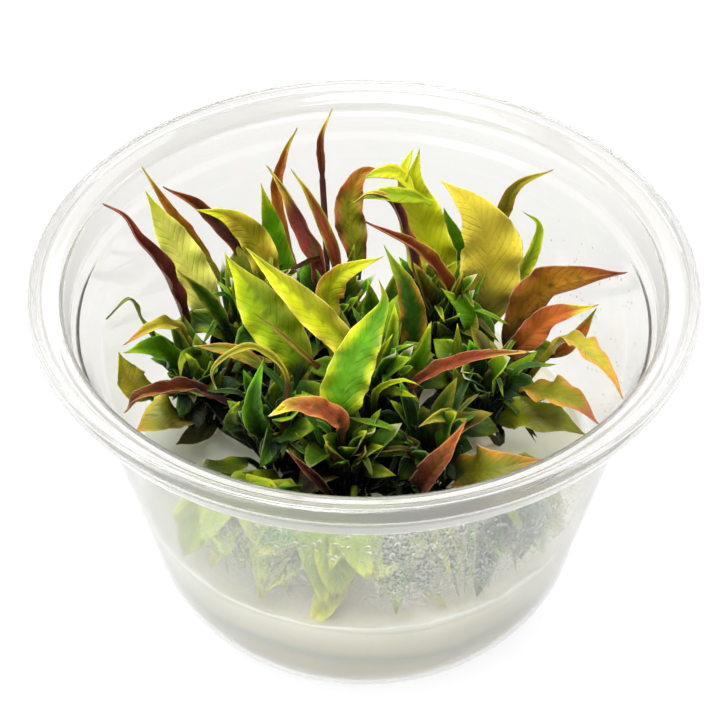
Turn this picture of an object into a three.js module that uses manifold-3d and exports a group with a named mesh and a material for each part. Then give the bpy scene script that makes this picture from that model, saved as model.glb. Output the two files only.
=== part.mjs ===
// A clump of young Cryptocoryne purpurea plants growing in a clear plastic cup of white gel.
//
// Millimetres, +Z up. The origin is the middle of the underside of the cup, on the surface
// that it stands on. The front of the plant, with its lowest leaves, is on the -Y side.

import * as THREE from 'three';
import { mergeVertices } from 'three/addons/utils/BufferGeometryUtils.js';
import Module from 'manifold-3d';

const wasm = await Module();
wasm.setup();

// Driving dimensions of the cup
const RIM_RADIUS = 50;
const RIM_TOP = 61.8;
const WALL = 0.8;
const FOOT_RADIUS = 30.4;
const FOOT_WIDTH = 4.4;
const FOOT_RECESS = 1;
const CORNER_HEIGHT = 10.7;
const CORNER_REACH = 6.2;
const SHOULDER_RADIUS = 44;
const SHOULDER_HEIGHT = 53;
const SHOULDER_STEP = 1;
const ROUND_STEPS = 32;
const CORNER_STEPS = 4;

// The rim in section, outside first: [in from RIM_RADIUS, down from RIM_TOP]
const SKIRT = [[4.3, 2.6], [1.5, 1.3], [1.1, 2.4], [2.5, 5.9], [1.8, 5.9], [0, 2], [0.25, 0.5]];
const LIP = [[0.8, 0], [2, 0.5], [2.5, 1], [4.4, 1.4], [5.2, 2.3]];

// Driving dimensions of the gel and of the plants
const GAP = 0.3;
const GEL_SURFACE = 21.4;
const MENISCUS = 0.5;
const MENISCUS_WIDTH = 1.5;
const CROWN_RADIUS = 3.2;
const CROWN_TOP = 25.4;
const ROOT_DEPTH = 13;
const CROWN_SIDES = 8;
const LEAF_FOOT = 2.4;
const PETIOLE_RADIUS = 0.45;
const BLADE_THICKNESS = 0.6;
const BLADE_BASE = 0.1;
const TIP_CLEARANCE = 8;
const LEAF_SIDES = 6;

// Sections along a leaf: [in all, of which along the bare stalk]
const GROWN_STEPS = [9, 3];
const YOUNG_STEPS = [5, 1];

// Colours of the leaves, from the youngest shoots to the oldest blades
const COLOURS = {
  bright: 0x8db418,
  green: 0x3f7d16,
  yellow: 0xb5b820,
  olive: 0x8c8a1c,
  mottled: 0x9aa41e,
  orange: 0xb5651d,
  red: 0x9c4326,
  purple: 0x6e3a30,
};

// Crowns, the short rhizomes that the leaves grow from: [x, y] on the gel
const CROWNS = {
  far_left: [-27, 5],
  back_left: [-19, 16],
  front_left: [-14, -6],
  back: [-6, 17],
  front: [-3, -12],
  middle: [2, 1],
  back_right: [13, 17],
  right: [20, 3],
  front_right: [10, -10],
};

// Leaves. Each runs from its crown through the points of path to its tip, the last point.
// face is the way that its upper side looks, width the breadth of the blade laid flat, stalk the
// share of the length that is bare stalk, belly the share of the blade at which it is widest, and
// fold the angle by which each half of the blade is raised.
const BELLY = 0.42;
const CAMERA_SIDE = [0, -0.73, 0.69];
const LEAVES = [
  {
    name: 'purple_rolled_leaf', crown: 'far_left', colour: 'purple', width: 4.2, stalk: 0.3, fold: 62,
    path: [[-29, 12.3, 33], [-32.7, 12.9, 50], [-35.7, 12.4, 56], [-37.5, 13.1, 60], [-40.6, 12.5, 63]],
    face: [0.6, -0.6, 0.5],
  },
  {
    name: 'wall_leaf', crown: 'far_left', colour: 'yellow', width: 5, stalk: 0.35, fold: 15,
    path: [[-34, 3, 29], [-37.5, -1, 38], [-38, -3, 46]], face: [0.5, -0.7, 0.5],
  },
  {
    name: 'bright_leaf_left', crown: 'far_left', colour: 'green', width: 4.5, stalk: 0.4, fold: 20,
    path: [[-31, 6, 35], [-34, 3, 41], [-38, 0, 43]], face: [0, -0.5, 0.85],
  },
  {
    name: 'hair_thin_leaf_left', crown: 'far_left', colour: 'olive', width: 1.8, stalk: 0.5, fold: 30,
    path: [[-34, 11, 34], [-36, 9, 42], [-37, 5, 50], [-40, 0, 50]], face: [0, -0.3, 0.95],
  },
  {
    name: 'olive_leaf_left', crown: 'far_left', colour: 'olive', width: 3.2, stalk: 0.4, fold: 25,
    path: [[-29.5, 10, 37], [-32, 6.6, 43], [-35.5, 1.4, 45.5], [-38, 0, 44.5]], face: [0, -0.4, 0.9],
  },
  {
    name: 'low_leaf_left', crown: 'far_left', colour: 'olive', width: 7, stalk: 0.3, fold: 10,
    path: [[-29, 0, 28], [-32, -4, 33], [-37, -6, 31]], face: [0, -0.3, 0.95],
  },
  {
    name: 'broad_mottled_leaf', crown: 'back_left', colour: 'mottled', width: 8, stalk: 0.25, fold: 20,
    path: [[-25, 17, 34], [-30, 19, 46], [-35, 20, 60]], face: [0.3, -0.7, 0.6],
  },
  {
    name: 'orange_tip_leaf', crown: 'back_left', colour: 'orange', width: 2.6, stalk: 0.45, fold: 40,
    path: [[-25, 23, 40], [-31.8, 22.4, 54], [-35.5, 22.3, 63]], face: [0.3, -0.7, 0.6],
  },
  {
    name: 'brown_leaf_left', crown: 'back_left', colour: 'red', width: 3.4, stalk: 0.4, fold: 45,
    path: [[-20, 23, 42], [-26.5, 24.5, 52], [-32.3, 20.9, 60]], face: [0, -0.6, 0.8],
  },
  {
    name: 'mustard_leaf', crown: 'back_left', colour: 'yellow', width: 5.5, stalk: 0.3, fold: 20,
    path: [[-15.5, 20.8, 36], [-18.5, 22.5, 48], [-22.3, 21.3, 53.5], [-27.4, 19.3, 56.5]],
    face: CAMERA_SIDE,
  },
  {
    name: 'slender_olive_leaf', crown: 'back_left', colour: 'olive', width: 2.8, stalk: 0.4, fold: 30,
    path: [[-22, 11, 36], [-25, 9, 46], [-29, 6, 55]], face: [0.2, -0.7, 0.6],
  },
  {
    name: 'front_folded_leaf', crown: 'front_left', colour: 'mottled', width: 8, stalk: 0.4, fold: 20,
    path: [[-11, -4, 36], [-10.5, -2, 43], [-15, -1, 52], [-21, 2.5, 61]], face: CAMERA_SIDE,
  },
  {
    name: 'green_upright_leaf', crown: 'front_left', colour: 'green', width: 3.8, stalk: 0.25, fold: 25,
    path: [[-15.5, -9, 32], [-17, -11, 42], [-15, -9, 50.5]], face: CAMERA_SIDE,
  },
  {
    name: 'red_arched_leaf', crown: 'front_left', colour: 'red', width: 4, stalk: 0.4, fold: 50,
    path: [[-20, -3, 33], [-26.5, -3.5, 38], [-30.8, -7.4, 41.5], [-33.9, -9.6, 43], [-37.6, -8.5, 38]],
    face: [0, -0.3, 0.95],
  },
  {
    name: 'small_orange_leaf', crown: 'front_left', colour: 'orange', width: 2.8, stalk: 0.65, fold: 25,
    path: [[-11.5, -8.5, 42], [-19, -6, 48.5], [-26, -6, 50]], face: CAMERA_SIDE,
  },
  {
    name: 'hair_thin_leaf_front', crown: 'front_left', colour: 'olive', width: 1.6, stalk: 0.5, fold: 40,
    path: [[-12.5, -10.5, 38], [-12, -8.5, 47], [-17.1, -7.4, 51], [-22.6, -10.4, 49.5], [-22.4, -10.5, 45]],
    face: [0, -0.3, 0.95],
  },
  {
    name: 'low_leaf_front_left', crown: 'front_left', colour: 'bright', width: 7.5, stalk: 0.3, fold: 10,
    path: [[-14.9, -14, 30], [-17.3, -22, 31], [-18.2, -27.5, 27.8]], face: [0, -0.5, 0.85],
  },
  {
    name: 'low_leaf_side', crown: 'front_left', colour: 'green', width: 6, stalk: 0.3, fold: 10,
    path: [[-19, -12, 31], [-24, -20, 33], [-27, -24, 26.5]], face: [-0.2, -0.3, 0.9],
  },
  {
    name: 'red_rolled_leaf', crown: 'back', colour: 'red', width: 5.2, stalk: 0.3, fold: 55,
    path: [[-7, 20, 44], [-10, 23, 50], [-13, 25, 56], [-16, 26, 60.5]], face: [-0.3, -0.7, 0.6],
  },
  {
    name: 'orange_curved_leaf', crown: 'back', colour: 'orange', width: 2.6, stalk: 0.4, fold: 40,
    path: [[-13, 30, 40], [-14.8, 32.4, 50], [-13, 31.6, 59], [-10.8, 30.1, 65]], face: CAMERA_SIDE,
  },
  {
    name: 'slim_leaf', crown: 'back', colour: 'orange', width: 3, stalk: 0.4, fold: 45,
    path: [[-4.8, 22, 44], [-9, 26, 54], [-12, 27, 59]], face: CAMERA_SIDE,
  },
  {
    name: 'tallest_leaf', crown: 'back', colour: 'purple', width: 1.7, stalk: 0.68, fold: 40,
    path: [[-6.6, 29.5, 44], [-7, 31.4, 54], [-6.9, 29.9, 63.5], [-5.1, 31.9, 67.5]], face: CAMERA_SIDE,
  },
  {
    name: 'green_leaf_back', crown: 'back', colour: 'green', width: 5, stalk: 0.35, fold: 15,
    path: [[-13, 24, 38], [-15.5, 26, 48.5], [-17, 26, 57]], face: CAMERA_SIDE,
  },
  {
    name: 'orange_folded_leaf', crown: 'back', colour: 'orange', width: 5.5, stalk: 0.4, fold: 25,
    path: [[-1, 25, 38], [-2.5, 29, 50], [0, 30.5, 55.5], [4.5, 31, 55]], face: CAMERA_SIDE,
  },
  {
    name: 'central_mottled_leaf', crown: 'front', colour: 'mottled', width: 7, stalk: 0.28, belly: 0.28,
    fold: 15, face: CAMERA_SIDE,
    path: [
      [-3.2, -14, 33], [-3.4, -12.4, 45], [-1.1, -10.5, 52.5], [1.7, -8.4, 57], [3, -7, 60], [2.1, -5.5, 63],
    ],
  },
  {
    name: 'curled_orange_leaf', crown: 'front', colour: 'orange', width: 3.8, stalk: 0.4, fold: 35,
    path: [[-5.5, -15, 34], [-6.6, -15, 42], [-10.2, -14.5, 46], [-14.3, -16.9, 45.5]],
    face: [0, -0.5, 0.85],
  },
  {
    name: 'thin_red_leaf', crown: 'front', colour: 'red', width: 2, stalk: 0.3, fold: 45,
    path: [[-5.2, -19, 31], [-8.5, -20.5, 38], [-11.5, -21.5, 43.5]], face: CAMERA_SIDE,
  },
  {
    name: 'hanging_front_leaf', crown: 'front', colour: 'yellow', width: 6, stalk: 0.3, fold: 12,
    path: [[-1.5, -17, 30], [-2, -24, 31.5], [-3.5, -30, 28], [-6.5, -34.5, 22.5], [-9.5, -35.3, 18.5]],
    face: [0, -0.6, 0.8],
  },
  {
    name: 'bright_folded_leaf', crown: 'middle', colour: 'bright', width: 5.8, stalk: 0.4, fold: 35,
    path: [[-1, -4, 42], [-3, -4.5, 49], [-9, -3.5, 56], [-18, 2, 63]], face: CAMERA_SIDE,
  },
  {
    name: 'arched_yellow_leaf', crown: 'middle', colour: 'yellow', width: 4.8, stalk: 0.4, fold: 20,
    path: [[-6, 4, 45], [-4.5, 3.5, 55], [3, 2, 61]], face: [0.3, -0.6, 0.7],
  },
  {
    name: 'mottled_upright_leaf', crown: 'middle', colour: 'mottled', width: 5, stalk: 0.25, fold: 20,
    path: [[8, 6.5, 38], [7, 7, 49], [3, 8, 58.5]], face: CAMERA_SIDE,
  },
  {
    name: 'red_spotted_leaf', crown: 'middle', colour: 'red', width: 3, stalk: 0.4, fold: 45,
    path: [[8, -6, 42], [17, -10, 51.5], [25.5, -12, 54.5]], face: [0, -0.5, 0.85],
  },
  {
    name: 'arched_brown_leaf', crown: 'back_right', colour: 'purple', width: 3.4, stalk: 0.35, fold: 55,
    path: [[9, 18, 42], [7, 20, 50], [4.5, 21.5, 56], [1, 21, 58.5], [-2, 21.5, 56]],
    face: [0, -0.2, 1],
  },
  {
    name: 'big_bright_leaf', crown: 'back_right', colour: 'bright', width: 9, stalk: 0.25, fold: 25,
    path: [[13.5, 21.5, 37], [9.6, 24.3, 50], [7.6, 26, 57], [8.8, 26.6, 63.5]], face: CAMERA_SIDE,
  },
  {
    name: 'green_leaf_behind', crown: 'back_right', colour: 'green', width: 6, stalk: 0.3, fold: 15,
    path: [[16.5, 26.5, 34], [15.2, 25.5, 44], [13.2, 24.5, 53]], face: CAMERA_SIDE,
  },
  {
    name: 'largest_leaf', crown: 'back_right', colour: 'olive', width: 11, stalk: 0.2, fold: 12,
    path: [[20, 18, 34], [20.4, 19.2, 48], [17.8, 19.4, 56], [12.1, 22.1, 60.5]], face: CAMERA_SIDE,
  },
  {
    name: 'olive_tip_leaf', crown: 'back_right', colour: 'olive', width: 2.8, stalk: 0.45, fold: 30,
    path: [[21, 25.5, 42], [23.2, 25.9, 51], [25.1, 23.8, 58], [30.4, 22, 62.5]], face: CAMERA_SIDE,
  },
  {
    name: 'tendril_leaf', crown: 'back_right', colour: 'green', width: 2.6, stalk: 0.45, fold: 25,
    path: [[25, 23, 36], [28.4, 22.8, 45], [29, 23.9, 50], [26.2, 24.7, 52]], face: CAMERA_SIDE,
  },
  {
    name: 'rolled_brown_leaf', crown: 'back_right', colour: 'orange', width: 4.2, stalk: 0.3, fold: 55,
    path: [[15, 16, 39], [9.5, 14.5, 51], [0, 12, 60]], face: [0, -0.5, 0.85],
  },
  {
    name: 'red_channelled_leaf', crown: 'right', colour: 'red', width: 8, stalk: 0.25, fold: 38,
    path: [[25, 12, 36], [28, 12.6, 43], [31, 9.6, 49], [35.7, 6.6, 53], [40.7, 4.2, 56]],
    face: [0, -0.6, 0.8],
  },
  {
    name: 'orange_arched_leaf', crown: 'right', colour: 'orange', width: 4.8, stalk: 0.35, fold: 30,
    path: [[21.5, 6.8, 33], [25.8, 5.5, 40], [29.5, 4, 46.5], [36.3, 1.3, 52]], face: [0, -0.6, 0.8],
  },
  {
    name: 'narrow_orange_leaf', crown: 'right', colour: 'orange', width: 3, stalk: 0.5, fold: 30,
    path: [[28, 8, 32], [33.5, 6.5, 39], [37, 6, 47]], face: CAMERA_SIDE,
  },
  {
    name: 'drooping_leaf', crown: 'right', colour: 'olive', width: 5, stalk: 0.45, fold: 20,
    path: [[27, 2, 36], [31.2, -2.6, 48], [34.3, -10.1, 51.5], [36.6, -14.6, 51.5], [38, -17.7, 50]],
    face: [0.2, -0.4, 0.9],
  },
  {
    name: 'green_leaf_right', crown: 'right', colour: 'green', width: 5, stalk: 0.3, fold: 15,
    path: [[20, 11.5, 32], [18.5, 12.7, 38.5], [12.5, 12.8, 45.5]], face: CAMERA_SIDE,
  },
  {
    name: 'low_yellow_leaf', crown: 'right', colour: 'yellow', width: 5.5, stalk: 0.3, fold: 10,
    path: [[22, -3, 31], [27.5, -6, 35], [35.5, -8.5, 33]], face: [0, -0.4, 0.9],
  },
  {
    name: 'brown_side_leaf', crown: 'right', colour: 'olive', width: 6, stalk: 0.4, fold: 20,
    path: [[24.5, 0.2, 34], [28.5, -6, 40], [32.1, -10, 42], [35.6, -14.8, 42]], face: [0.2, -0.4, 0.9],
  },
  {
    name: 'wrinkled_red_leaf', crown: 'front_right', colour: 'red', width: 5, stalk: 0.25, fold: 40,
    path: [[9, -19, 33], [12, -22, 43], [15, -20, 48.5]], face: [-0.3, -0.6, 0.7],
  },
  {
    name: 'broad_olive_leaf', crown: 'front_right', colour: 'olive', width: 7.5, stalk: 0.25, fold: 15,
    path: [[14.5, -15, 31], [19, -21, 38.5], [27, -21, 41]], face: [0, -0.5, 0.85],
  },
  {
    name: 'low_leaf_front_right', crown: 'front_right', colour: 'olive', width: 6, stalk: 0.3, fold: 10,
    path: [[5.5, -16, 28.5], [8, -29.5, 26], [12.5, -34.6, 23]], face: [0, -0.4, 0.9],
  },
];

// Young leaves, too short to stand clear of their crown, grown in one piece with it
const YOUNG_LEAVES = [
  { crown: 'far_left', path: [[-24.5, 2, 32], [-23, 1, 38]], width: 2.4 },
  { crown: 'far_left', path: [[-27.7, 7.7, 35], [-29.3, 2.5, 39], [-29.6, 0.5, 36]], width: 2.4 },
  { crown: 'far_left', path: [[-25.5, -1, 27.5], [-31, -3.5, 25.5]], width: 4 },
  { crown: 'back_left', path: [[-18.5, 20.4, 34], [-22.5, 17, 42]], width: 4 },
  { crown: 'back_left', path: [[-20.8, 19, 37], [-23.2, 20.6, 47]], width: 3.2 },
  { crown: 'back_left', path: [[-16, 14, 33], [-16.6, 11.5, 42]], width: 3 },
  { crown: 'front_left', path: [[-19, -6, 30], [-20.8, -7.5, 35], [-19.1, -9.8, 42]], width: 2.6 },
  { crown: 'back', path: [[-10, 15, 34], [-12, 13, 42]], width: 3.4 },
  { crown: 'back', path: [[-3.5, 17, 32], [-1.8, 19.5, 41]], width: 3.6 },
  { crown: 'back', path: [[-2.5, 14.5, 33], [0.8, 15, 43]], width: 2.6 },
  { crown: 'front', path: [[0, -14, 31], [5, -18, 34]], width: 3 },
  { crown: 'front', path: [[-7, -12.5, 31], [-10.5, -13.5, 39]], width: 1.6 },
  { crown: 'front', path: [[-9, -15, 27.5], [-14.5, -18, 30]], width: 2.4 },
  {
    crown: 'front', path: [[-9, -15.2, 28], [-9.8, -22, 29.5], [-11, -29, 28.4], [-15, -33.4, 25]],
    width: 6.5,
  },
  { crown: 'middle', path: [[8, -1, 40], [10, -3, 52]], width: 3 },
  { crown: 'middle', path: [[4, -4, 38], [8, -11, 44]], width: 2 },
  { crown: 'middle', path: [[1.5, 0, 39], [4.5, -1, 48]], width: 2.4 },
  { crown: 'back_right', path: [[13.5, 12.5, 34], [12, 8.5, 42]], width: 3.4 },
  { crown: 'back_right', path: [[11.5, 17.5, 42], [15, 15.5, 49]], width: 1.8 },
  { crown: 'right', path: [[16, 0, 34], [14, -2, 42]], width: 3 },
  { crown: 'right', path: [[15.5, 4, 35], [14.7, 2.5, 47]], width: 2.4 },
  { crown: 'front_right', path: [[14, -8, 35], [12, -10.4, 39.5], [8.2, -13.5, 40]], width: 3.4 },
  { crown: 'front_right', path: [[12.4, -17, 29], [17, -24, 30.5], [24.5, -28.5, 26.5]], width: 5.5 },
  { crown: 'front_right', path: [[11.8, -15.8, 26.5], [13.6, -26, 27], [18, -32.2, 23.6]], width: 3.5 },
];

// A closed mesh with its shared corners joined, keeping only their positions
function closed(geometry) {
  geometry.deleteAttribute('normal');
  geometry.deleteAttribute('uv');
  return mergeVertices(geometry, 1e-4);
}

function toManifold(geometry) {
  return new wasm.Manifold(new wasm.Mesh({
    numProp: 3,
    vertProperties: Float32Array.from(geometry.attributes.position.array),
    triVerts: Uint32Array.from(geometry.index.array),
  }));
}

function fromManifold(solid) {
  const mesh = solid.getMesh();
  const geometry = new THREE.BufferGeometry();
  geometry.setAttribute('position', new THREE.BufferAttribute(mesh.vertProperties, 3));
  geometry.setIndex(new THREE.BufferAttribute(mesh.triVerts, 1));
  return geometry;
}

// A body turned round the upright axis from a profile of [radius, height] pairs
function turned(profile, steps) {
  const points = profile.map(([r, z]) => new THREE.Vector2(r, z));
  return closed(new THREE.LatheGeometry(points, steps).rotateX(Math.PI / 2));
}

// The rounded corner between the floor and the wall, a quarter of an ellipse drawn in by inset
function corner(inset) {
  const points = [];
  for (let i = 0; i <= CORNER_STEPS; i += 1) {
    const angle = (Math.PI / 2) * (i / CORNER_STEPS);
    points.push([
      FOOT_RADIUS + (CORNER_REACH - inset) * Math.sin(angle),
      inset + (CORNER_HEIGHT - inset) * (1 - Math.cos(angle)),
    ]);
  }
  return points;
}

// The wall's outer radius at a height between the corner and the stacking shoulder
function wallRadius(z) {
  const foot = FOOT_RADIUS + CORNER_REACH;
  const share = (z - CORNER_HEIGHT) / (SHOULDER_HEIGHT - CORNER_HEIGHT);
  return foot + (SHOULDER_RADIUS - foot) * share;
}

// Cup: a thin wall with a stacking shoulder, and a rim that turns out and down into a skirt
function cup() {
  const footInside = FOOT_RADIUS - FOOT_WIDTH;
  const neck = SHOULDER_RADIUS + SHOULDER_STEP;
  const profile = [
    [0, FOOT_RECESS],
    [footInside - FOOT_RECESS, FOOT_RECESS],
    [footInside, 0],
    ...corner(0),
    [SHOULDER_RADIUS, SHOULDER_HEIGHT],
    [neck, SHOULDER_HEIGHT + SHOULDER_STEP],
    ...[...SKIRT, ...LIP].map(([inward, down]) => [RIM_RADIUS - inward, RIM_TOP - down]),
    [neck - WALL, SHOULDER_HEIGHT + SHOULDER_STEP + WALL / 2],
    [SHOULDER_RADIUS - WALL, SHOULDER_HEIGHT + WALL / 2],
    ...corner(WALL).reverse(),
    [0, FOOT_RECESS + WALL],
  ];
  return turned(profile, ROUND_STEPS);
}

// Half the width of a leaf at a share of its length: a thin stalk, then a lance-shaped blade
function halfWidth(leaf, t) {
  if (t <= leaf.stalk) return PETIOLE_RADIUS;
  const u = (t - leaf.stalk) / (1 - leaf.stalk);
  const early = Math.log(0.5) / Math.log(leaf.belly ?? BELLY);
  const lance = Math.sin(Math.PI * u ** early) ** 0.85;
  return Math.max(PETIOLE_RADIUS * (1 - u), (leaf.width / 2) * lance);
}

// The place on a crown where a leaf starts, on the side that the leaf leans to
function leafStart(crown, towards, reach) {
  const heading = Math.atan2(towards[1] - crown[1], towards[0] - crown[0]);
  return [
    crown[0] + reach * Math.cos(heading),
    crown[1] + reach * Math.sin(heading),
    GEL_SURFACE + LEAF_FOOT,
  ];
}

// A leaf: a six-sided section carried along its path, raised into a shallow V where it is folded.
// A pocket for it is the same body, wider by grow all round and running on well past the tip.
function leafBody(leaf, [steps, stalkSteps], reach, grow = 0) {
  const start = leafStart(CROWNS[leaf.crown], leaf.path[0], reach);
  const points = [start, ...leaf.path].map((p) => new THREE.Vector3(...p));
  const path = new THREE.CatmullRomCurve3(points, false, 'centripetal');
  const face = new THREE.Vector3(...leaf.face).normalize();
  const body = closed(new THREE.SphereGeometry(1, LEAF_SIDES, steps));
  const corners = body.attributes.position;
  const vertex = new THREE.Vector3();
  for (let i = 0; i < corners.count; i += 1) {
    vertex.fromBufferAttribute(corners, i);
    const step = Math.round((steps * Math.acos(THREE.MathUtils.clamp(vertex.y, -1, 1))) / Math.PI);
    const t = step <= stalkSteps
      ? (leaf.stalk * step) / stalkSteps
      : THREE.MathUtils.lerp(leaf.stalk, 1, (step - stalkSteps) / (steps - stalkSteps));
    const tangent = path.getTangentAt(t);
    const normal = face.clone().addScaledVector(tangent, -face.dot(tangent)).normalize();
    const side = normal.clone().cross(tangent);
    const place = path.getPointAt(t);
    if (step > 0 && step < steps) {
      const around = Math.atan2(vertex.z, vertex.x) + Math.PI / LEAF_SIDES;
      const blade = THREE.MathUtils.smoothstep(t, leaf.stalk, leaf.stalk + BLADE_BASE);
      const fold = THREE.MathUtils.degToRad(leaf.fold) * blade;
      const half = halfWidth(leaf, t) + grow;
      const thick = THREE.MathUtils.lerp(PETIOLE_RADIUS, BLADE_THICKNESS / 2, blade) + grow;
      const across = (Math.cos(around) / Math.cos(Math.PI / LEAF_SIDES)) * half;
      place.addScaledVector(side, across * Math.cos(fold));
      place.addScaledVector(normal, Math.abs(across) * Math.sin(fold) + thick * Math.sin(around));
    } else {
      place.addScaledVector(tangent, step === 0 ? -grow : TIP_CLEARANCE * grow);
    }
    corners.setXYZ(i, place.x, place.y, place.z);
  }
  return body;
}

// The profile of a crown: a tuft of roots in the gel, and a low dome above it
function crownProfile(grow) {
  return [
    [0, GEL_SURFACE - ROOT_DEPTH - grow],
    [1.2 + grow, GEL_SURFACE - ROOT_DEPTH + 1 - grow],
    [2.6 + grow, GEL_SURFACE - 5],
    [CROWN_RADIUS + grow, GEL_SURFACE],
    [CROWN_RADIUS - 0.4 + grow, GEL_SURFACE + 2],
    [1.6 + grow, CROWN_TOP - 0.4 + grow],
    [0, CROWN_TOP + grow],
  ];
}

function standing(profile, [x, y]) {
  return turned(profile, CROWN_SIDES).translate(x, y, 0);
}

// Crown: the dome and its roots, with its young leaves joined on
function crown(name) {
  let solid = toManifold(standing(crownProfile(0), CROWNS[name]));
  for (const young of YOUNG_LEAVES.filter((leaf) => leaf.crown === name)) {
    const leaf = { stalk: 0.3, fold: 20, face: CAMERA_SIDE, ...young };
    solid = solid.add(toManifold(leafBody(leaf, YOUNG_STEPS, CROWN_RADIUS / 2)));
  }
  return fromManifold(solid);
}

// Gel: it fills the bottom of the cup and climbs a little at the wall. Each crown sits in a
// pocket of it, and so does the tip of the leaf that hangs down at the front.
function gel() {
  const edge = wallRadius(GEL_SURFACE) - WALL - GAP;
  const profile = [
    [0, FOOT_RECESS + WALL + GAP],
    ...corner(WALL + GAP),
    [edge, GEL_SURFACE + MENISCUS],
    [edge - MENISCUS_WIDTH, GEL_SURFACE],
    [0, GEL_SURFACE],
  ];
  let solid = toManifold(turned(profile, ROUND_STEPS));
  for (const place of Object.values(CROWNS)) {
    solid = solid.subtract(toManifold(standing(crownProfile(GAP), place)));
  }
  const hanging = LEAVES.find((leaf) => leaf.name === 'hanging_front_leaf');
  solid = solid.subtract(toManifold(leafBody(hanging, GROWN_STEPS, CROWN_RADIUS + GAP, GAP)));
  return fromManifold(solid);
}

function piece(name, geometry, colour, roughness) {
  const material = new THREE.MeshStandardMaterial({ color: colour, roughness, metalness: 0 });
  const mesh = new THREE.Mesh(geometry, material);
  mesh.name = name;
  return mesh;
}

const plant = new THREE.Group();
plant.add(piece('cup', cup(), 0xf2f4f3, 0.15));
plant.add(piece('gel', gel(), 0xe4dfd0, 0.35));
for (const name of Object.keys(CROWNS)) {
  plant.add(piece(`crown_${name}`, crown(name), COLOURS.green, 0.6));
}
for (const leaf of LEAVES) {
  const body = leafBody(leaf, GROWN_STEPS, CROWN_RADIUS + GAP);
  plant.add(piece(leaf.name, body, COLOURS[leaf.colour], 0.5));
}

export default plant;
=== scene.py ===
import math
import random
from bisect import bisect

import bmesh
import bpy
from mathutils import Matrix, Vector, noise


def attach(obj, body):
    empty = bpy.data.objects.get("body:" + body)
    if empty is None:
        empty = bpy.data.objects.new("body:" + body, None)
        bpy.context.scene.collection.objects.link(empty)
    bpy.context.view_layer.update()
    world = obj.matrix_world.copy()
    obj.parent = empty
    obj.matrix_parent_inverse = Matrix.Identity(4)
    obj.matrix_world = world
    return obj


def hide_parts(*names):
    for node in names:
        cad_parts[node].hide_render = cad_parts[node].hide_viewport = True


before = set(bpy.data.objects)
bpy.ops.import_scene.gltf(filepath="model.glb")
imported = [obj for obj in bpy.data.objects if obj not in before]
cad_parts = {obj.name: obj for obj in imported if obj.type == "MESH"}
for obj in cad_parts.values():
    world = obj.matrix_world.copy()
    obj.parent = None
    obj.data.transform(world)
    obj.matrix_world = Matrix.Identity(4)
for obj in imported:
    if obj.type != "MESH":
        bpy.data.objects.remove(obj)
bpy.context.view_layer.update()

# The studio: a plain white table that runs out of sight, a pale room, and soft lamps over, before
# and behind the cup. The camera looks down on its front. None of it is part of the object.
MM = 0.001
WHITE = (1, 1, 1, 1)
TABLE_HALF = 3.0
TABLE_TINT = (0.12, 0.12, 0.12, 1)
TABLE_GLOW = 0.84
ROOM_LIGHT = 0.34
ROOM_THROUGH_CLEAR = 0.8
LIGHT_BOUNCES = 24
AIM_HEIGHT = 40.5 * MM
CAMERA_DISTANCE = 237 * MM
CAMERA_RISE = math.radians(43.46)
CAMERA_LENS = 73.73
CAMERA_FILM = 36
LAMPS = {
    "lamp_over": dict(place=(-0.12, -0.10, 1.0), side=0.5, watts=14.0),
    "lamp_front": dict(place=(-0.60, -0.55, 0.60), side=0.6, watts=2.5),
    "lamp_back": dict(place=(0.10, 0.75, 0.55), side=0.7, watts=4.0),
}


def add_node(tree, kind, inputs=None, **settings):
    """Adds a node to the tree. Each input is a plain value or the socket that feeds it."""
    made = tree.nodes.new("ShaderNode" + kind)
    for key, value in settings.items():
        setattr(made, key, value)
    for key, value in (inputs or {}).items():
        if isinstance(value, bpy.types.NodeSocket):
            tree.links.new(value, made.inputs[key])
        else:
            made.inputs[key].default_value = value
    return made


def work_out(tree, operation, *values):
    """One step of arithmetic on plain values and sockets."""
    return add_node(tree, "Math", dict(enumerate(values)), operation=operation).outputs[0]


def how_far(tree, value, low, high, at_low=0.0, at_high=1.0):
    """How far a value has come from low to high, as a number between at_low and at_high."""
    return add_node(tree, "MapRange", {
        "Value": value, "From Min": low, "From Max": high, "To Min": at_low, "To Max": at_high,
    }).outputs[0]


def new_finish(name, **settings):
    """A material with one Principled shader, whose sockets are given by their names."""
    material = bpy.data.materials.new(name)
    material.use_nodes = True
    shader = material.node_tree.nodes["Principled BSDF"]
    for key, value in settings.items():
        shader.inputs[key.replace("_", " ")].default_value = value
    return material, material.node_tree, shader


def piece_from(bm, name, finishes, smooth=True):
    """Closes a bmesh into an object at the origin that wears the given finishes."""
    mesh = bpy.data.meshes.new(name)
    bm.to_mesh(mesh)
    bm.free()
    for finish in finishes:
        mesh.materials.append(finish)
    mesh.polygons.foreach_set("use_smooth", [smooth] * len(mesh.polygons))
    made = bpy.data.objects.new(name, mesh)
    bpy.context.scene.collection.objects.link(made)
    return made


scene = bpy.context.scene
scene.view_settings.view_transform = "Standard"
scene.cycles.max_bounces = LIGHT_BOUNCES
scene.cycles.transmission_bounces = LIGHT_BOUNCES
scene.cycles.transparent_max_bounces = LIGHT_BOUNCES

scene.world = bpy.data.worlds.new("pale_room")
scene.world.use_nodes = True
tree = scene.world.node_tree
room = tree.nodes["Background"].inputs
room["Color"].default_value = WHITE
ray = add_node(tree, "LightPath").outputs
bent = work_out(tree, "MULTIPLY", ray["Is Transmission Ray"], ROOM_THROUGH_CLEAR)
seen = work_out(tree, "MAXIMUM", ray["Is Camera Ray"], bent)
tree.links.new(how_far(tree, seen, 0.0, 1.0, ROOM_LIGHT, 1.0), room["Strength"])

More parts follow.
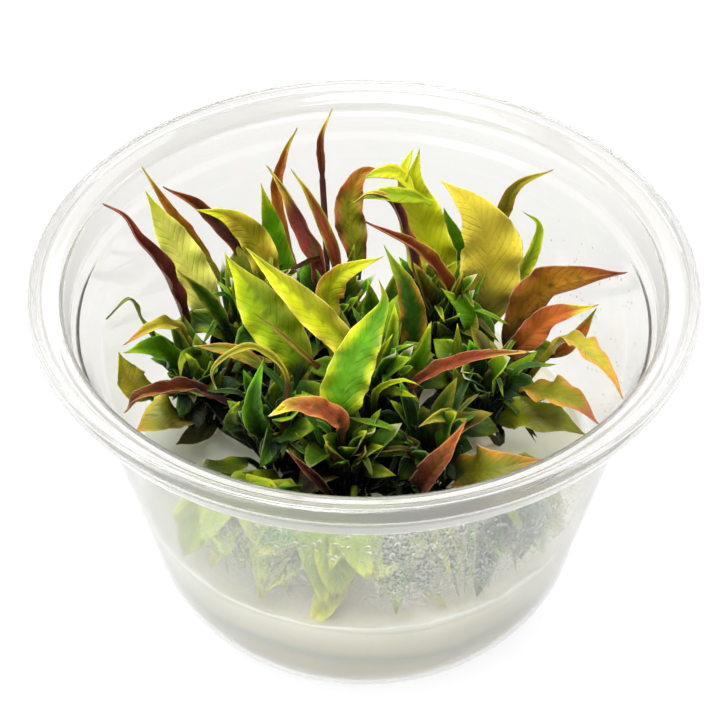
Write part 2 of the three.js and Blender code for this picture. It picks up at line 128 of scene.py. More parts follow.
for lamp_name, lamp in LAMPS.items():
    light = bpy.data.lights.new(lamp_name, "AREA")
    light.shape = "SQUARE"
    light.size = lamp["side"]
    light.energy = lamp["watts"]
    holder = bpy.data.objects.new(lamp_name, light)
    holder.location = lamp["place"]
    aim = Vector((0, 0, AIM_HEIGHT)) - holder.location
    holder.rotation_euler = aim.to_track_quat("-Z", "Y").to_euler()
    scene.collection.objects.link(holder)

lens = bpy.data.cameras.new("camera")
lens.lens = CAMERA_LENS
lens.sensor_width = CAMERA_FILM
camera = bpy.data.objects.new("camera", lens)
camera.location = (
    0, -CAMERA_DISTANCE * math.cos(CAMERA_RISE),
    AIM_HEIGHT + CAMERA_DISTANCE * math.sin(CAMERA_RISE),
)
camera.rotation_euler = (math.pi / 2 - CAMERA_RISE, 0, 0)
scene.collection.objects.link(camera)
scene.camera = camera

table_finish = new_finish(
    "table_white", Roughness=0.6, Base_Color=TABLE_TINT, Emission_Color=WHITE,
    Emission_Strength=TABLE_GLOW,
)[0]
bm = bmesh.new()
bmesh.ops.create_grid(bm, x_segments=2, y_segments=2, size=TABLE_HALF)
table = piece_from(bm, "table_top", [table_finish], smooth=False)

# The cup: one thin wall of clear polypropylene, moulded in one shot. The foot is raised in the
# middle, the wall widens to a stacking shoulder, and the rim turns out and down into a skirt.
RIM_RADIUS = 50
RIM_TOP = 61.8
WALL = 0.8
FOOT_RADIUS = 30.4
FOOT_WIDTH = 4.4
FOOT_FLAT = 1
FOOT_RECESS = 1
CORNER_HEIGHT = 10.7
CORNER_REACH = 6.2
CORNER_STEPS = 8
SHOULDER_RADIUS = 44
SHOULDER_HEIGHT = 53
SHOULDER_STEP = 1
STRAIGHT_BELOW = 6
CUP_STEPS = 144
ROUNDING = 0.32
SKIRT = [(4.3, 2.6), (1.5, 1.3), (1.1, 2.4), (2.5, 5.9), (1.8, 5.9), (0, 2), (0.25, 0.5)]
LIP = [(0.8, 0), (2, 0.5), (2.5, 1), (4.4, 1.4), (5.2, 2.3)]
CUP_TINT = (0.84, 0.835, 0.815, 1)
CUP_LAMPLIGHT = 0.9
CUP_ROUGHNESS = (0.04, 0.11)
SKIRT_ROUGHNESS = 0.3
SKIRT_SPAN = (55 * MM, 62 * MM)
SKIRT_MATT = ((0.12, 1), (0.5, 1), (0.64, 0))


def corner(inset):
    """The rounded corner between the floor and the wall, a quarter of an ellipse."""
    points = []
    for i in range(CORNER_STEPS + 1):
        angle = math.pi / 2 * i / CORNER_STEPS
        points.append((
            FOOT_RADIUS + (CORNER_REACH - inset) * math.sin(angle),
            inset + (CORNER_HEIGHT - inset) * (1 - math.cos(angle)),
        ))
    return points


def wall_radius(z):
    """The wall's outer radius at a height between the corner and the shoulder."""
    foot = FOOT_RADIUS + CORNER_REACH
    share = (z - CORNER_HEIGHT) / (SHOULDER_HEIGHT - CORNER_HEIGHT)
    return foot + (SHOULDER_RADIUS - foot) * share


def rounded(profile, reach, steps=3):
    """The profile with each sharp corner turned into a short curve."""
    out = [profile[0]]
    for before, here, after in zip(profile, profile[1:], profile[2:]):
        here, arms = Vector(here), []
        for other in (Vector(before), Vector(after)):
            arm = other - here
            arms.append(here + arm * min(reach / arm.length, 0.4))
        for i in range(steps + 1):
            t = i / steps
            out.append(tuple(arms[0] * (1 - t) ** 2 + here * 2 * t * (1 - t) + arms[1] * t**2))
    out.append(profile[-1])
    return out


def turn(bm, profile, steps, centre=(0, 0)):
    """Spins a profile of (radius, height) in mm about the upright axis through centre."""
    axis = Vector((centre[0], centre[1], 0)) * MM
    line = [bm.verts.new(axis + Vector((r, 0, z)) * MM) for r, z in profile]
    edges = [bm.edges.new(pair) for pair in zip(line, line[1:])]
    bmesh.ops.spin(
        bm, geom=line + edges, cent=axis, axis=(0, 0, 1), angle=2 * math.pi, steps=steps,
        use_merge=True,
    )
    bmesh.ops.remove_doubles(bm, verts=bm.verts[:], dist=0.002 * MM)
    bmesh.ops.recalc_face_normals(bm, faces=bm.faces[:])


def clouds(tree, places, scale, detail=2.0, **more):
    """Soft random patches, as a number from 0 to 1."""
    return add_node(tree, "TexNoise", {
        "Vector": places, "Scale": scale, "Detail": detail, **more,
    }).outputs["Fac"]


def bands_along(tree, share, first, last, between):
    """The colour at a share of the way through bands that go from first to last."""
    made = add_node(tree, "ValToRGB", {"Fac": share})
    made.color_ramp.elements[0].color = first
    made.color_ramp.elements[1].color = last
    for place, colour in between:
        made.color_ramp.elements.new(place).color = colour
    return made.outputs["Color"]


def grey(level):
    """The grey of a plain number."""
    return (level, level, level, 1)


def pass_lamps(tree, shader, share):
    """Lets a share of the lamps' light straight through a clear material."""
    ray = add_node(tree, "LightPath")
    straight = add_node(tree, "BsdfTransparent", {"Color": grey(share)})
    mixed = add_node(tree, "MixShader", {
        0: ray.outputs["Is Shadow Ray"], 1: shader.outputs[0], 2: straight.outputs[0],
    })
    tree.links.new(mixed.outputs[0], tree.nodes["Material Output"].inputs["Surface"])


foot_inside = FOOT_RADIUS - FOOT_WIDTH
neck = SHOULDER_RADIUS + SHOULDER_STEP
inner_height = SHOULDER_HEIGHT + WALL / 2
cup_rim = [(RIM_RADIUS - inward, RIM_TOP - down) for inward, down in SKIRT + LIP]
bm = bmesh.new()
turn(bm, [
    (0, FOOT_RECESS),
    *rounded([
        (8, FOOT_RECESS), (foot_inside - FOOT_RECESS, FOOT_RECESS), (foot_inside, 0),
        (FOOT_RADIUS - FOOT_FLAT, 0),
    ], ROUNDING * 2),
    *corner(0),
    *rounded([
        (SHOULDER_RADIUS - 1, SHOULDER_HEIGHT - STRAIGHT_BELOW),
        (SHOULDER_RADIUS, SHOULDER_HEIGHT), (neck, SHOULDER_HEIGHT + SHOULDER_STEP), *cup_rim,
        (neck - WALL, SHOULDER_HEIGHT + SHOULDER_STEP + WALL / 2),
        (SHOULDER_RADIUS - WALL, inner_height),
        (SHOULDER_RADIUS - WALL - 1, inner_height - STRAIGHT_BELOW),
    ], ROUNDING),
    *corner(WALL)[::-1],
    (0, FOOT_RECESS + WALL),
], CUP_STEPS)

cup_finish, tree, shader = new_finish(
    "clear_plastic", Base_Color=CUP_TINT, Transmission_Weight=0.97, IOR=1.45,
)
places = add_node(tree, "TexCoord").outputs["Object"]
here = add_node(tree, "SeparateXYZ", {"Vector": places}).outputs
worn = how_far(tree, clouds(tree, places, 60.0, 4.0), 0.40, 0.75, *CUP_ROUGHNESS)
skirt = bands_along(
    tree, how_far(tree, here["Z"], *SKIRT_SPAN), grey(0), grey(0),
    [(place, grey(much)) for place, much in SKIRT_MATT],
)
matt = work_out(tree, "MULTIPLY_ADD", skirt, SKIRT_ROUGHNESS, worn)
tree.links.new(matt, shader.inputs["Roughness"])
pass_lamps(tree, shader, CUP_LAMPLIGHT)
cup = piece_from(bm, "clear_cup", [cup_finish])
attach(cup, "root")
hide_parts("cup")

# The gel: white nutrient agar, poured in hot and set, so that it fills the bottom of the cup and
# climbs a little at the wall. It is cloudy. Its colour also carries painted light: blue-grey bands
# by height are painted refraction of the cup's corner, the left side has painted shade, and the
# top edge at the wall has painted highlight lines.
GEL_SURFACE = 21.4
GEL_GAP = 0.06
GEL_STEPS = 120
GEL_SWELL = 0.22
EDGE_SWELL = 0.6
MENISCUS = [(0, 0.9), (0.25, 0.78), (0.8, 0.1), (1.6, 0)]
MENISCUS_REACH = 1.6
RING_GAP = 2.4
GEL_CLOUD = ((0.74, 0.70, 0.57, 1), (0.84, 0.80, 0.68, 1))
# Painted light by height in the gel: the blue-grey bands are painted refraction of the cup's
# corner, and near the top the thin dark line between white ones is part of the edge's painted
# highlight.
GEL_BOTTOM = (0.66, 0.78, 0.84, 1)
GEL_PAINTED_BANDS = (
    (0.2, (0.72, 0.82, 0.86, 1)), (0.28, WHITE), (0.44, WHITE), (0.55, (0.72, 0.82, 0.88, 1)),
    (0.66, (1, 1, 0.98, 1)), (0.93, WHITE), (0.965, (0.78, 0.79, 0.72, 1)),
)
GEL_PAINTED_BANDS_SPAN = (0, 22 * MM)
GEL_SWAY = 8 * MM
# Painted shade on the gel's left side.
GEL_LEFT_SHADE = (0.76, 0.82, 0.84, 1)
GEL_LEFT_SHADE_SPAN = (-10 * MM, -34 * MM)
# Painted highlight along the gel's top edge where it climbs the wall.
GEL_BRIM_HIGHLIGHT = (0.96, 0.95, 0.88, 1)
GEL_BRIM_HIGHLIGHT_SPAN = (21.6 * MM, 22.2 * MM)
GEL_LAMPLIGHT = 0.75


def smoothstep(value, low, high):
    """How far a value has come from low to high, with a soft start and end."""
    share = min(max((value - low) / (high - low), 0), 1)
    return share * share * (3 - 2 * share)


def blend(tree, share, under, over, way="MIX"):
    """A colour laid over another by a share."""
    return add_node(tree, "Mix", {
        "Factor": share, "A": under, "B": over,
    }, data_type="RGBA", blend_type=way).outputs["Result"]


gel_edge = wall_radius(GEL_SURFACE) - WALL - GEL_GAP
bm = bmesh.new()
turn(bm, [
    (0, FOOT_RECESS + WALL + GEL_GAP),
    *corner(WALL + GEL_GAP),
    *[(gel_edge - inward, GEL_SURFACE + lift) for inward, lift in MENISCUS],
    *[(gel_edge - MENISCUS_REACH - RING_GAP * i, GEL_SURFACE) for i in range(1, 14)],
    (0, GEL_SURFACE),
], GEL_STEPS)
for vert in bm.verts:
    if vert.co.z > (GEL_SURFACE - 0.1) * MM:
        swell = noise.noise(vert.co * 140) + 0.5 * noise.noise(vert.co * 330)
        away = math.hypot(vert.co.x, vert.co.y) / MM
        climb = smoothstep(away, gel_edge - MENISCUS_REACH, gel_edge)
        vert.co.z += (GEL_SWELL + EDGE_SWELL * climb) * MM * swell

gel_finish, tree, shader = new_finish(
    "gel", Transmission_Weight=0.45, IOR=1.34, Roughness=0.3, Subsurface_Weight=1.0,
    Subsurface_Scale=9 * MM, Subsurface_Radius=(1.0, 0.9, 0.75),
)
places = add_node(tree, "TexCoord").outputs["Object"]
here = add_node(tree, "SeparateXYZ", {"Vector": places}).outputs
sway = clouds(tree, places, 30.0, 3.0)
sway = work_out(tree, "MULTIPLY_ADD", sway, GEL_SWAY, -GEL_SWAY / 2)
# Painted light: bands by height, shade on the left, and a highlight along the top edge at the wall.
depth = how_far(tree, work_out(tree, "ADD", here["Z"], sway), *GEL_PAINTED_BANDS_SPAN)
left = how_far(tree, here["X"], *GEL_LEFT_SHADE_SPAN)
brim_highlight = how_far(tree, here["Z"], *GEL_BRIM_HIGHLIGHT_SPAN)
tone = blend(tree, clouds(tree, places, 75.0, 5.0), *GEL_CLOUD)
layers = bands_along(tree, depth, GEL_BOTTOM, WHITE, GEL_PAINTED_BANDS)
tone = blend(tree, 1.0, tone, layers, "MULTIPLY")
tone = blend(tree, 1.0, tone, blend(tree, left, WHITE, GEL_LEFT_SHADE), "MULTIPLY")
tree.links.new(blend(tree, brim_highlight, tone, GEL_BRIM_HIGHLIGHT), shader.inputs["Base Color"])
pass_lamps(tree, shader, GEL_LAMPLIGHT)
gel = piece_from(bm, "agar_gel", [gel_finish])
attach(gel, "root")
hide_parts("gel")

# The breath inside the cup: a film of water on the wall above the gel. It is a thin mist all round
# with fine dew in it at the front, in banks, and beads that have run together on the same wall.
MIST_BOTTOM = GEL_SURFACE + 2.5
MIST_TOP = SHOULDER_HEIGHT - 3
MIST_RINGS = 12
MIST_GAP = 0.1
MIST_THICKNESS = 0.05
MIST_TINT = (0.93, 0.94, 0.92, 1)
MIST_VEIL = 0.03
MIST_BANKS = (0.35, 0.70)
DEW_STRENGTH = 0.21
DEW_BANKS = (0.34, 0.48)
DEW_DROPS_PER_M = 2100.0
DEW_GAPS = (0.30, 0.55)
DEW_FRONT = (-12 * MM, -24 * MM)
DEW_FLOOR = (26.5 * MM, 30 * MM)
DEW_SPAN = (-30 * MM, 30 * MM)
DEW_LEFT, DEW_RIGHT = 0.2, 1
DEW_ALONG = ((0.12, 0.2), (0.2, 0.8), (0.34, 0.75), (0.4, 0.25), (0.48, 0.3), (0.56, 1.0))
# The water's grey-green tints darken the beads: painted shade for their dark refracted edges.
BEAD_SHADE_TINTS = ((0.80, 0.84, 0.74, 1), (0.97, 0.98, 0.95, 1))
BEAD_LAMPLIGHT = 0.95
BEAD_DEPTH = 0.55
BEAD_HEIGHT = (0.9, 1.25)
BEAD_GAP = 0.02
BEAD_BANKS_PER_MM = 0.16
BEAD_BANK_EDGE = (-0.45, 0.15)
BEAD_FIELDS = (
    dict(turn=(-88, -34), height=(31, 51), size=(0.11, 0.22), count=1500),
    dict(turn=(-124, -100), height=(34, 46), size=(0.10, 0.18), count=500),
    dict(turn=(-110, -68), height=(42, 49), size=(0.24, 0.42), count=80),
    dict(turn=(-10, 40), height=(30, 50), size=(0.10, 0.20), count=150),
)

mist_finish, tree, shader = new_finish(
    "mist", Base_Color=MIST_TINT, Roughness=0.9, Specular_IOR_Level=0.2,
)
places = add_node(tree, "TexCoord").outputs["Object"]
here = add_node(tree, "SeparateXYZ", {"Vector": places}).outputs
banks = clouds(tree, places, 38.0, 5.0, Roughness=0.6)
drops = add_node(tree, "TexVoronoi", {"Vector": places, "Scale": DEW_DROPS_PER_M})
along = bands_along(
    tree, how_far(tree, here["X"], *DEW_SPAN), grey(DEW_LEFT), grey(DEW_RIGHT),
    [(place, grey(much)) for place, much in DEW_ALONG],
)
dew = how_far(tree, here["Y"], *DEW_FRONT)
for mask in (
    along, how_far(tree, banks, *DEW_BANKS), how_far(tree, here["Z"], *DEW_FLOOR),
    how_far(tree, drops.outputs["Distance"], *DEW_GAPS),
):
    dew = work_out(tree, "MULTIPLY", dew, mask)
veil = how_far(tree, banks, *MIST_BANKS, 0.0, MIST_VEIL)
film = work_out(tree, "MULTIPLY_ADD", dew, DEW_STRENGTH, veil)
tree.links.new(film, shader.inputs["Alpha"])
bm = bmesh.new()
sheet = []
for ring in range(MIST_RINGS + 1):
    z = MIST_BOTTOM + (MIST_TOP - MIST_BOTTOM) * ring / MIST_RINGS
    sheet.append((wall_radius(z) - WALL - MIST_GAP, z))
turn(bm, [*sheet, *[(r - MIST_THICKNESS, z) for r, z in sheet[::-1]], sheet[0]], GEL_STEPS)
mist = piece_from(bm, "wall_mist", [mist_finish])
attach(mist, "root")

bead_finish, tree, shader = new_finish(
    "bead_water", Transmission_Weight=1.0, IOR=1.33, Roughness=0.02,
)
places = add_node(tree, "TexCoord").outputs["Object"]
# Painted shade: the water is tinted darker so that the beads show as dark dots.
tone = blend(tree, clouds(tree, places, 300.0), *BEAD_SHADE_TINTS)
tree.links.new(tone, shader.inputs["Base Color"])
pass_lamps(tree, shader, BEAD_LAMPLIGHT)

random.seed(3)
bead_places = []
for field in BEAD_FIELDS:
    for _ in range(field["count"]):
        heading = math.radians(random.uniform(*field["turn"]))
        z = random.uniform(*field["height"])
        size = random.uniform(*field["size"])
        reach = wall_radius(z) - WALL - BEAD_DEPTH * size - BEAD_GAP
        middle = Vector((reach * math.cos(heading), reach * math.sin(heading), z))
        if noise.noise(middle * BEAD_BANKS_PER_MM) < random.uniform(*BEAD_BANK_EDGE):
            continue
        tall = random.uniform(*BEAD_HEIGHT)
        shape = Matrix.Diagonal((BEAD_DEPTH * size * MM, size * MM, tall * size * MM, 1))
        turned = Matrix.Rotation(heading, 4, "Z")
        bead_places.append(Matrix.Translation(middle * MM) @ turned @ shape)
bm = bmesh.new()
bmesh.ops.create_uvsphere(bm, u_segments=8, v_segments=5, radius=1)
bead_points = len(bm.verts)
store = bpy.data.meshes.new("store")
bm.to_mesh(store)
bm.free()
bm = bmesh.new()
bm.from_mesh(store)
while len(bm.verts) < bead_points * len(bead_places):
    bm.to_mesh(store)
    bm.from_mesh(store)
bpy.data.meshes.remove(store)
bmesh.ops.delete(bm, geom=bm.verts[bead_points * len(bead_places):], context="VERTS")
for i, vert in enumerate(bm.verts):
    vert.co = bead_places[i // bead_points] @ vert.co
beads = piece_from(bm, "wall_beads", [bead_finish])
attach(beads, "root")

# The far left plant: a short rhizome sunk in the gel, with pale roots below it and a tuft of
# young leaves on top. Its grown leaves lean out to the wall, and the longest is rolled and purple.
PETIOLE_RADIUS = 0.45
BLADE_THICKNESS = 0.36
BLADE_BASE = 0.1
BLADE_CREASE = 0.75
MIDRIB_DEPTH = 0.16
MIDRIB_WIDTH = 0.6
RAGGED_EDGE = ((5, 0.2), (17, 0.1))
WAVE_LENGTH = 9
WAVE_LAG = 0.9
QUILT_GAP = 2.1
QUILT_SLANT = 1.2
CAMERA_SIDE = (0, -0.73, 0.69)
LINE_STEPS = 16
# Each half of a folded leaf has its colour scaled by its own gain: painted shade and light for how
# the lamps fall on the two halves.
PLAIN_LEAF = dict(
    face=CAMERA_SIDE, fold=20, twist=0, wave=0.5, quilt=0, belly=0.42, sharp=0.45, sides=(1, 1),
    tip_from=0.72, dark="moss", blotch=0.35, spots=0, dry=0,
)
GROWN_MESH = dict(around=20, steps=52, stalk_steps=14)
YOUNG_MESH = dict(around=10, steps=14, stalk_steps=4)
SMALL_MESH = dict(around=8, steps=8, stalk_steps=2)
ROOT_MESH = dict(around=5, steps=7, stalk_steps=6)
PATCHES_PER_MM = 0.25
FLECKS_PER_MM = 0.8
# Painted shade and light baked into the leaves' colours: darker low down and deep in the clump,
# brighter near the wall and behind the front wall, and darker again on the front leaves that stand
# above the front rim's line.
DEEP_SHADE = 0.04
DIM_TO_CLEAR = (28, 48)
INNER_TO_OUTER = (29, 37)
BACK_TO_FRONT = (21, 28)
FRONT_GLOW = 0.74
RIM_INSIDE = 44.8
RIM_DEPTH = 2.3
SIGHT_SLOPE = 1.133
IN_THE_OPEN = (12, 20)
OPEN_SHADE = 0.85
TINT_CODES = {
    "lime": 0xcace18, "pale": 0xe8e46e, "grass": 0x98b212, "vivid": 0x66a208, "moss": 0x386410,
    "deep": 0x14300a, "straw": 0xd8c43a, "olive": 0x8e8a18, "mustard": 0xaea022,
    "amber": 0xba8022, "orange": 0xc66a2c, "rust": 0x98482a, "wine": 0x7a3832, "plum": 0x502a2c,
    "brown": 0x42260f, "root": 0xe6dfc8,
}


def linear(code):
    """A screen colour as linear red, green and blue."""
    shares = [((code >> shift) & 255) / 255 for shift in (16, 8, 0)]
    return Vector([((s + 0.055) / 1.055) ** 2.4 if s > 0.04 else s / 12.92 for s in shares])


TINTS = {name: linear(code) for name, code in TINT_CODES.items()}


def smooth_line(points):
    """Places along a smooth line through the points, and their distances from its start."""
    ends = [2 * points[0] - points[1], *points, 2 * points[-1] - points[-2]]
    line = [points[0]]
    for a, b, c, d in zip(ends, ends[1:], ends[2:], ends[3:]):
        ab, bc, cd = (math.sqrt((q - p).length) for p, q in ((a, b), (b, c), (c, d)))
        out = ((b - a) / ab - (c - a) / (ab + bc) + (c - b) / bc) * bc
        into = ((c - b) / bc - (d - b) / (bc + cd) + (d - c) / cd) * bc
        for i in range(1, LINE_STEPS + 1):
            t = i / LINE_STEPS
            bend = 3 * (c - b) - 2 * out - into
            line.append(b + out * t + bend * t**2 + (2 * (b - c) + out + into) * t**3)
    gone = [0]
    for p, q in zip(line, line[1:]):
        gone.append(gone[-1] + (q - p).length)
    return line, gone


def place_on(line, gone, t):
    """The place at a share of the line's length, and the way that the line runs there."""
    want = min(max(t, 0), 1) * gone[-1]
    i = min(max(bisect(gone, want) - 1, 0), len(line) - 2)
    share = (want - gone[i]) / (gone[i + 1] - gone[i])
    ahead = line[min(i + 2, len(line) - 1)] - line[i + 1]
    here, back = line[i + 1] - line[i], line[i] - line[max(i - 1, 0)]
    before = (here + back).normalized()
    after = (here + ahead).normalized()
    return line[i].lerp(line[i + 1], share), before.lerp(after, share).normalized()


def half_width(leaf, t):
    """Half a leaf's width at a share of its length: a thin stalk, then a lance-shaped blade."""
    if t <= leaf["stalk"]:
        return PETIOLE_RADIUS
    u = min((t - leaf["stalk"]) / (1 - leaf["stalk"]), 1)
    early = math.log(0.5) / math.log(leaf["belly"])
    sharp = 0.85 + leaf["sharp"] * smoothstep(u, 0.45, 1)
    lance = max(math.sin(math.pi * u**early), 0) ** sharp
    return max(PETIOLE_RADIUS * (1 - u) ** 0.7, leaf["width"] / 2 * lance)


def colour_at(leaf, u, near, blade, below, patch, fleck):
    """The colour from stalk to tip, with dark blotches, a margin, an underside and a pale point."""
    stem, heart, edge, tip = (TINTS[name] for name in leaf["tints"].split())
    # The dark stalk tint at the foot of the leaf is partly the stalk's own colour and partly
    # painted shade.
    colour = stem.lerp(heart, smoothstep(u + 0.12 * patch, 0.0, 0.34))
    dark = leaf["blotch"] * smoothstep(patch + 0.5 * fleck, 0.0, 0.42) * blade
    colour = colour.lerp(TINTS[leaf["dark"]], dark)
    margin = smoothstep(near + 0.25 * patch + 0.2 * fleck, 0.5, 1.0) * blade
    colour = colour.lerp(edge, 0.9 * margin)
    colour = colour.lerp(tip, smoothstep(u + 0.1 * patch + 0.06 * near, leaf["tip_from"], 0.98))
    if below and blade > 0.5:
        under = TINTS[leaf["under"]] if "under" in leaf else heart
        colour = colour.lerp(under, 0.5) * 0.85
    colour = colour * (1 + 0.25 * patch + 0.15 * fleck)
    return colour.lerp(TINTS["root"], leaf["dry"] * smoothstep(u, 0.94, 0.975))


def light_at(place, patch):
    """How lit the tissue is: dim deep in the clump, clear on top, and bright through the wall."""
    clear = smoothstep(place.z + 3 * patch, *DIM_TO_CLEAR)
    glow = smoothstep(math.hypot(place.x, place.y), *INNER_TO_OUTER)
    glow = max(glow, FRONT_GLOW * smoothstep(-place.y, *BACK_TO_FRONT))
    near_rim = math.sqrt(max(RIM_INSIDE**2 - place.x**2, 0))
    over = place.z - RIM_TOP + RIM_DEPTH + SIGHT_SLOPE * (place.y + near_rim)
    glow *= 1 - OPEN_SHADE * smoothstep(over, -1, 1) * smoothstep(-place.y, *IN_THE_OPEN)
    return DEEP_SHADE + (1 - DEEP_SHADE) * max(clear, glow)


def add_part(bm, part):
    """Adds a finished part to a bigger mesh, which is far quicker than growing it there."""
    store = bpy.data.meshes.new("store")
    part.to_mesh(store)
    part.free()
    bm.from_mesh(store)
    bpy.data.meshes.remove(store)


def carry(bm, leaf, points, around, steps, stalk_steps, finish=0):
    """Grows one leaf: a closed tube, carried along its line and flattened into a thin blade."""
    leaf = {**PLAIN_LEAF, **leaf}
    line, gone = smooth_line([Vector(p) for p in points])
    length = gone[-1]
    stalk, quilt = leaf["stalk"], leaf["quilt"]
    facing = Vector(leaf["face"]).normalized()
    fold, twist = math.radians(leaf["fold"]), math.radians(leaf["twist"])
    waves = leaf.get("waves", length / WAVE_LENGTH)
    spread = 2 * (1 - BLADE_CREASE)
    phase = random.uniform(0, 2 * math.pi)
    drift = Vector([random.uniform(0, 90) for _ in range(3)])
    part = bmesh.new()
    bmesh.ops.create_uvsphere(part, u_segments=around, v_segments=steps, radius=1)
    tints = part.verts.layers.float_color.new("tint_and_shade")
    spots = part.verts.layers.float.new("spots")
    chart = part.loops.layers.uv.new("blade")
    charted = {}
    for vert in part.verts:
        step = round(steps * math.acos(min(max(vert.co.z, -1), 1)) / math.pi)
        angle = math.atan2(vert.co.y, vert.co.x)
        if step <= stalk_steps:
            t = stalk * step / stalk_steps
        else:
            t = stalk + (1 - stalk) * (step - stalk_steps) / (steps - stalk_steps)
        u = max((t - stalk) / (1 - stalk), 0)
        place, run = place_on(line, gone, t)
        upper = (facing - run * facing.dot(run)).normalized()
        if twist:
            upper = Matrix.Rotation(twist * u, 3, run) @ upper
        side = upper.cross(run)
        blade = smoothstep(t, stalk, stalk + BLADE_BASE)
        across = math.cos(angle) if 0 < step < steps else 0
        near, sign = abs(across), math.copysign(1, across)
        if 0 < step < steps:
            ragged = 0
            for often, much in RAGGED_EDGE:
                ragged += noise.noise(Vector((u * often, sign * 3, 0)) + drift) * much * blade
            half = half_width(leaf, t) * (1 + ragged)
            thick = PETIOLE_RADIUS + (BLADE_THICKNESS / 2 - PETIOLE_RADIUS) * blade
            bend = max(fold * blade, 1e-3)
            level = bend * BLADE_CREASE
            lean = bend * (BLADE_CREASE + spread * near) + 1e-4
            out = half * (math.sin(lean) - math.sin(level)) / (bend * spread)
            rise = half * (math.cos(level) - math.cos(lean)) / (bend * spread)
            ripple = math.sin(2 * math.pi * waves * u + phase + sign * WAVE_LAG)
            fade = math.sin(math.pi * min(u * 1.15, 1))
            rise += leaf["wave"] * half * 0.5 * blade * near**2 * ripple * fade
            rise -= MIDRIB_DEPTH * blade * math.exp(-((across * half / MIDRIB_WIDTH) ** 2))
            if quilt:
                rib = 2 * math.pi * (t * length - QUILT_SLANT * near * half) / QUILT_GAP
                rise += quilt * blade * math.sin(rib) * (1 - near**2)
            swell = thick * math.sin(angle)
            place = place + side * sign * (out - math.sin(lean) * swell)
            place += upper * (rise + math.cos(lean) * swell)
        vert.co = place * MM
        patch = noise.noise(place * PATCHES_PER_MM + drift)
        fleck = noise.noise(place * FLECKS_PER_MM + drift)
        colour = colour_at(leaf, u, near, blade, math.sin(angle) < -0.05, patch, fleck)
        # Painted shade and light go into the vertex colour here: light_at's shade times the gain
        # for this half of the fold.
        shade = light_at(place, patch) * leaf["sides"][sign > 0]
        vert[tints] = (*(colour * shade), near * blade)
        vert[spots] = leaf["spots"]
        charted[vert] = (across * half_width(leaf, t) / 10, t * length / 10 + drift.x)
    for face in part.faces:
        face.material_index = finish
        for loop in face.loops:
            loop[chart].uv = charted[loop.vert]
    bmesh.ops.recalc_face_normals(part, faces=part.faces[:])
    add_part(bm, part)


# Leaf tissue: a shared pattern of side veins, midrib, mottling and small brown spots, with a
# painted highlight along the edge
SPOT_TINT = (0.10, 0.035, 0.012, 1)
MOTTLE_TINT = (0.60, 0.66, 0.40, 1)
VEIN_TINT = (0.55, 0.55, 0.40, 1)
# The colour of the painted highlight along each leaf's edge.
EDGE_HIGHLIGHT = (1.0, 0.85, 0.55, 1)
VEIN_SLOPE = 1.7
VEIN_LINES = (0.72, 1.0)
MIDRIB_LINE = (0.045, 0.015)
BLOTCHES = (0.42, 0.66)
SPECKS = (0.47, 0.66)
# Where the painted edge highlight lies and how strong it is.
EDGE_HIGHLIGHT_LINE = (0.93, 0.995)
EDGE_HIGHLIGHT_STRENGTH = 0.6
SPOT_SPAN = (0.28, 0.12)
SHEEN = (-0.10, 0.14)

tissue = bpy.data.node_groups.new("leaf_tissue", "ShaderNodeTree")
for socket, kind in (
    ("Tint", "Color"), ("Near Edge", "Float"), ("Spots", "Float"), ("Blade", "Vector"),
    ("Veins", "Float"), ("Mottle", "Float"), ("Spot Colour", "Color"), ("Gloss", "Float"),
):
    tissue.interface.new_socket(socket, in_out="INPUT", socket_type="NodeSocket" + kind)
for socket, kind in (("Colour", "Color"), ("Roughness", "Float"), ("Height", "Float")):
    tissue.interface.new_socket(socket, in_out="OUTPUT", socket_type="NodeSocket" + kind)
given = tissue.nodes.new("NodeGroupInput").outputs
here = add_node(tissue, "SeparateXYZ", {"Vector": given["Blade"]}).outputs
across = work_out(tissue, "ABSOLUTE", here["X"])
slant = work_out(tissue, "SUBTRACT", here["Y"], work_out(tissue, "MULTIPLY", across, VEIN_SLOPE))
swept = add_node(tissue, "CombineXYZ", {"X": slant, "Y": across})
waves = add_node(tissue, "TexWave", {
    "Vector": swept.outputs["Vector"], "Scale": 1.7, "Distortion": 2.6, "Detail": 3.0,
    "Detail Scale": 3.0,
})
veins = how_far(tissue, waves.outputs["Fac"], *VEIN_LINES)
lines = work_out(tissue, "MAXIMUM", veins, how_far(tissue, across, *MIDRIB_LINE))
streaks = add_node(tissue, "VectorMath", {
    0: given["Blade"], 1: (1.0, 0.45, 1.0),
}, operation="MULTIPLY")
blotch = clouds(tissue, streaks.outputs["Vector"], 6.0, 5.0, Roughness=0.62, Distortion=0.6)
patches = how_far(tissue, blotch, *BLOTCHES)
specks = clouds(tissue, given["Blade"], 19.0, 6.0, Roughness=0.75)
either = work_out(tissue, "MAXIMUM", patches, how_far(tissue, specks, *SPECKS))
much = work_out(tissue, "MULTIPLY", either, given["Mottle"])
darker = blend(tissue, 1.0, given["Tint"], MOTTLE_TINT, "MULTIPLY")
mottled = blend(tissue, much, given["Tint"], darker)
strong = work_out(tissue, "MULTIPLY", lines, given["Veins"])
veined = blend(tissue, strong, mottled, blend(tissue, 1.0, mottled, VEIN_TINT, "MULTIPLY"))
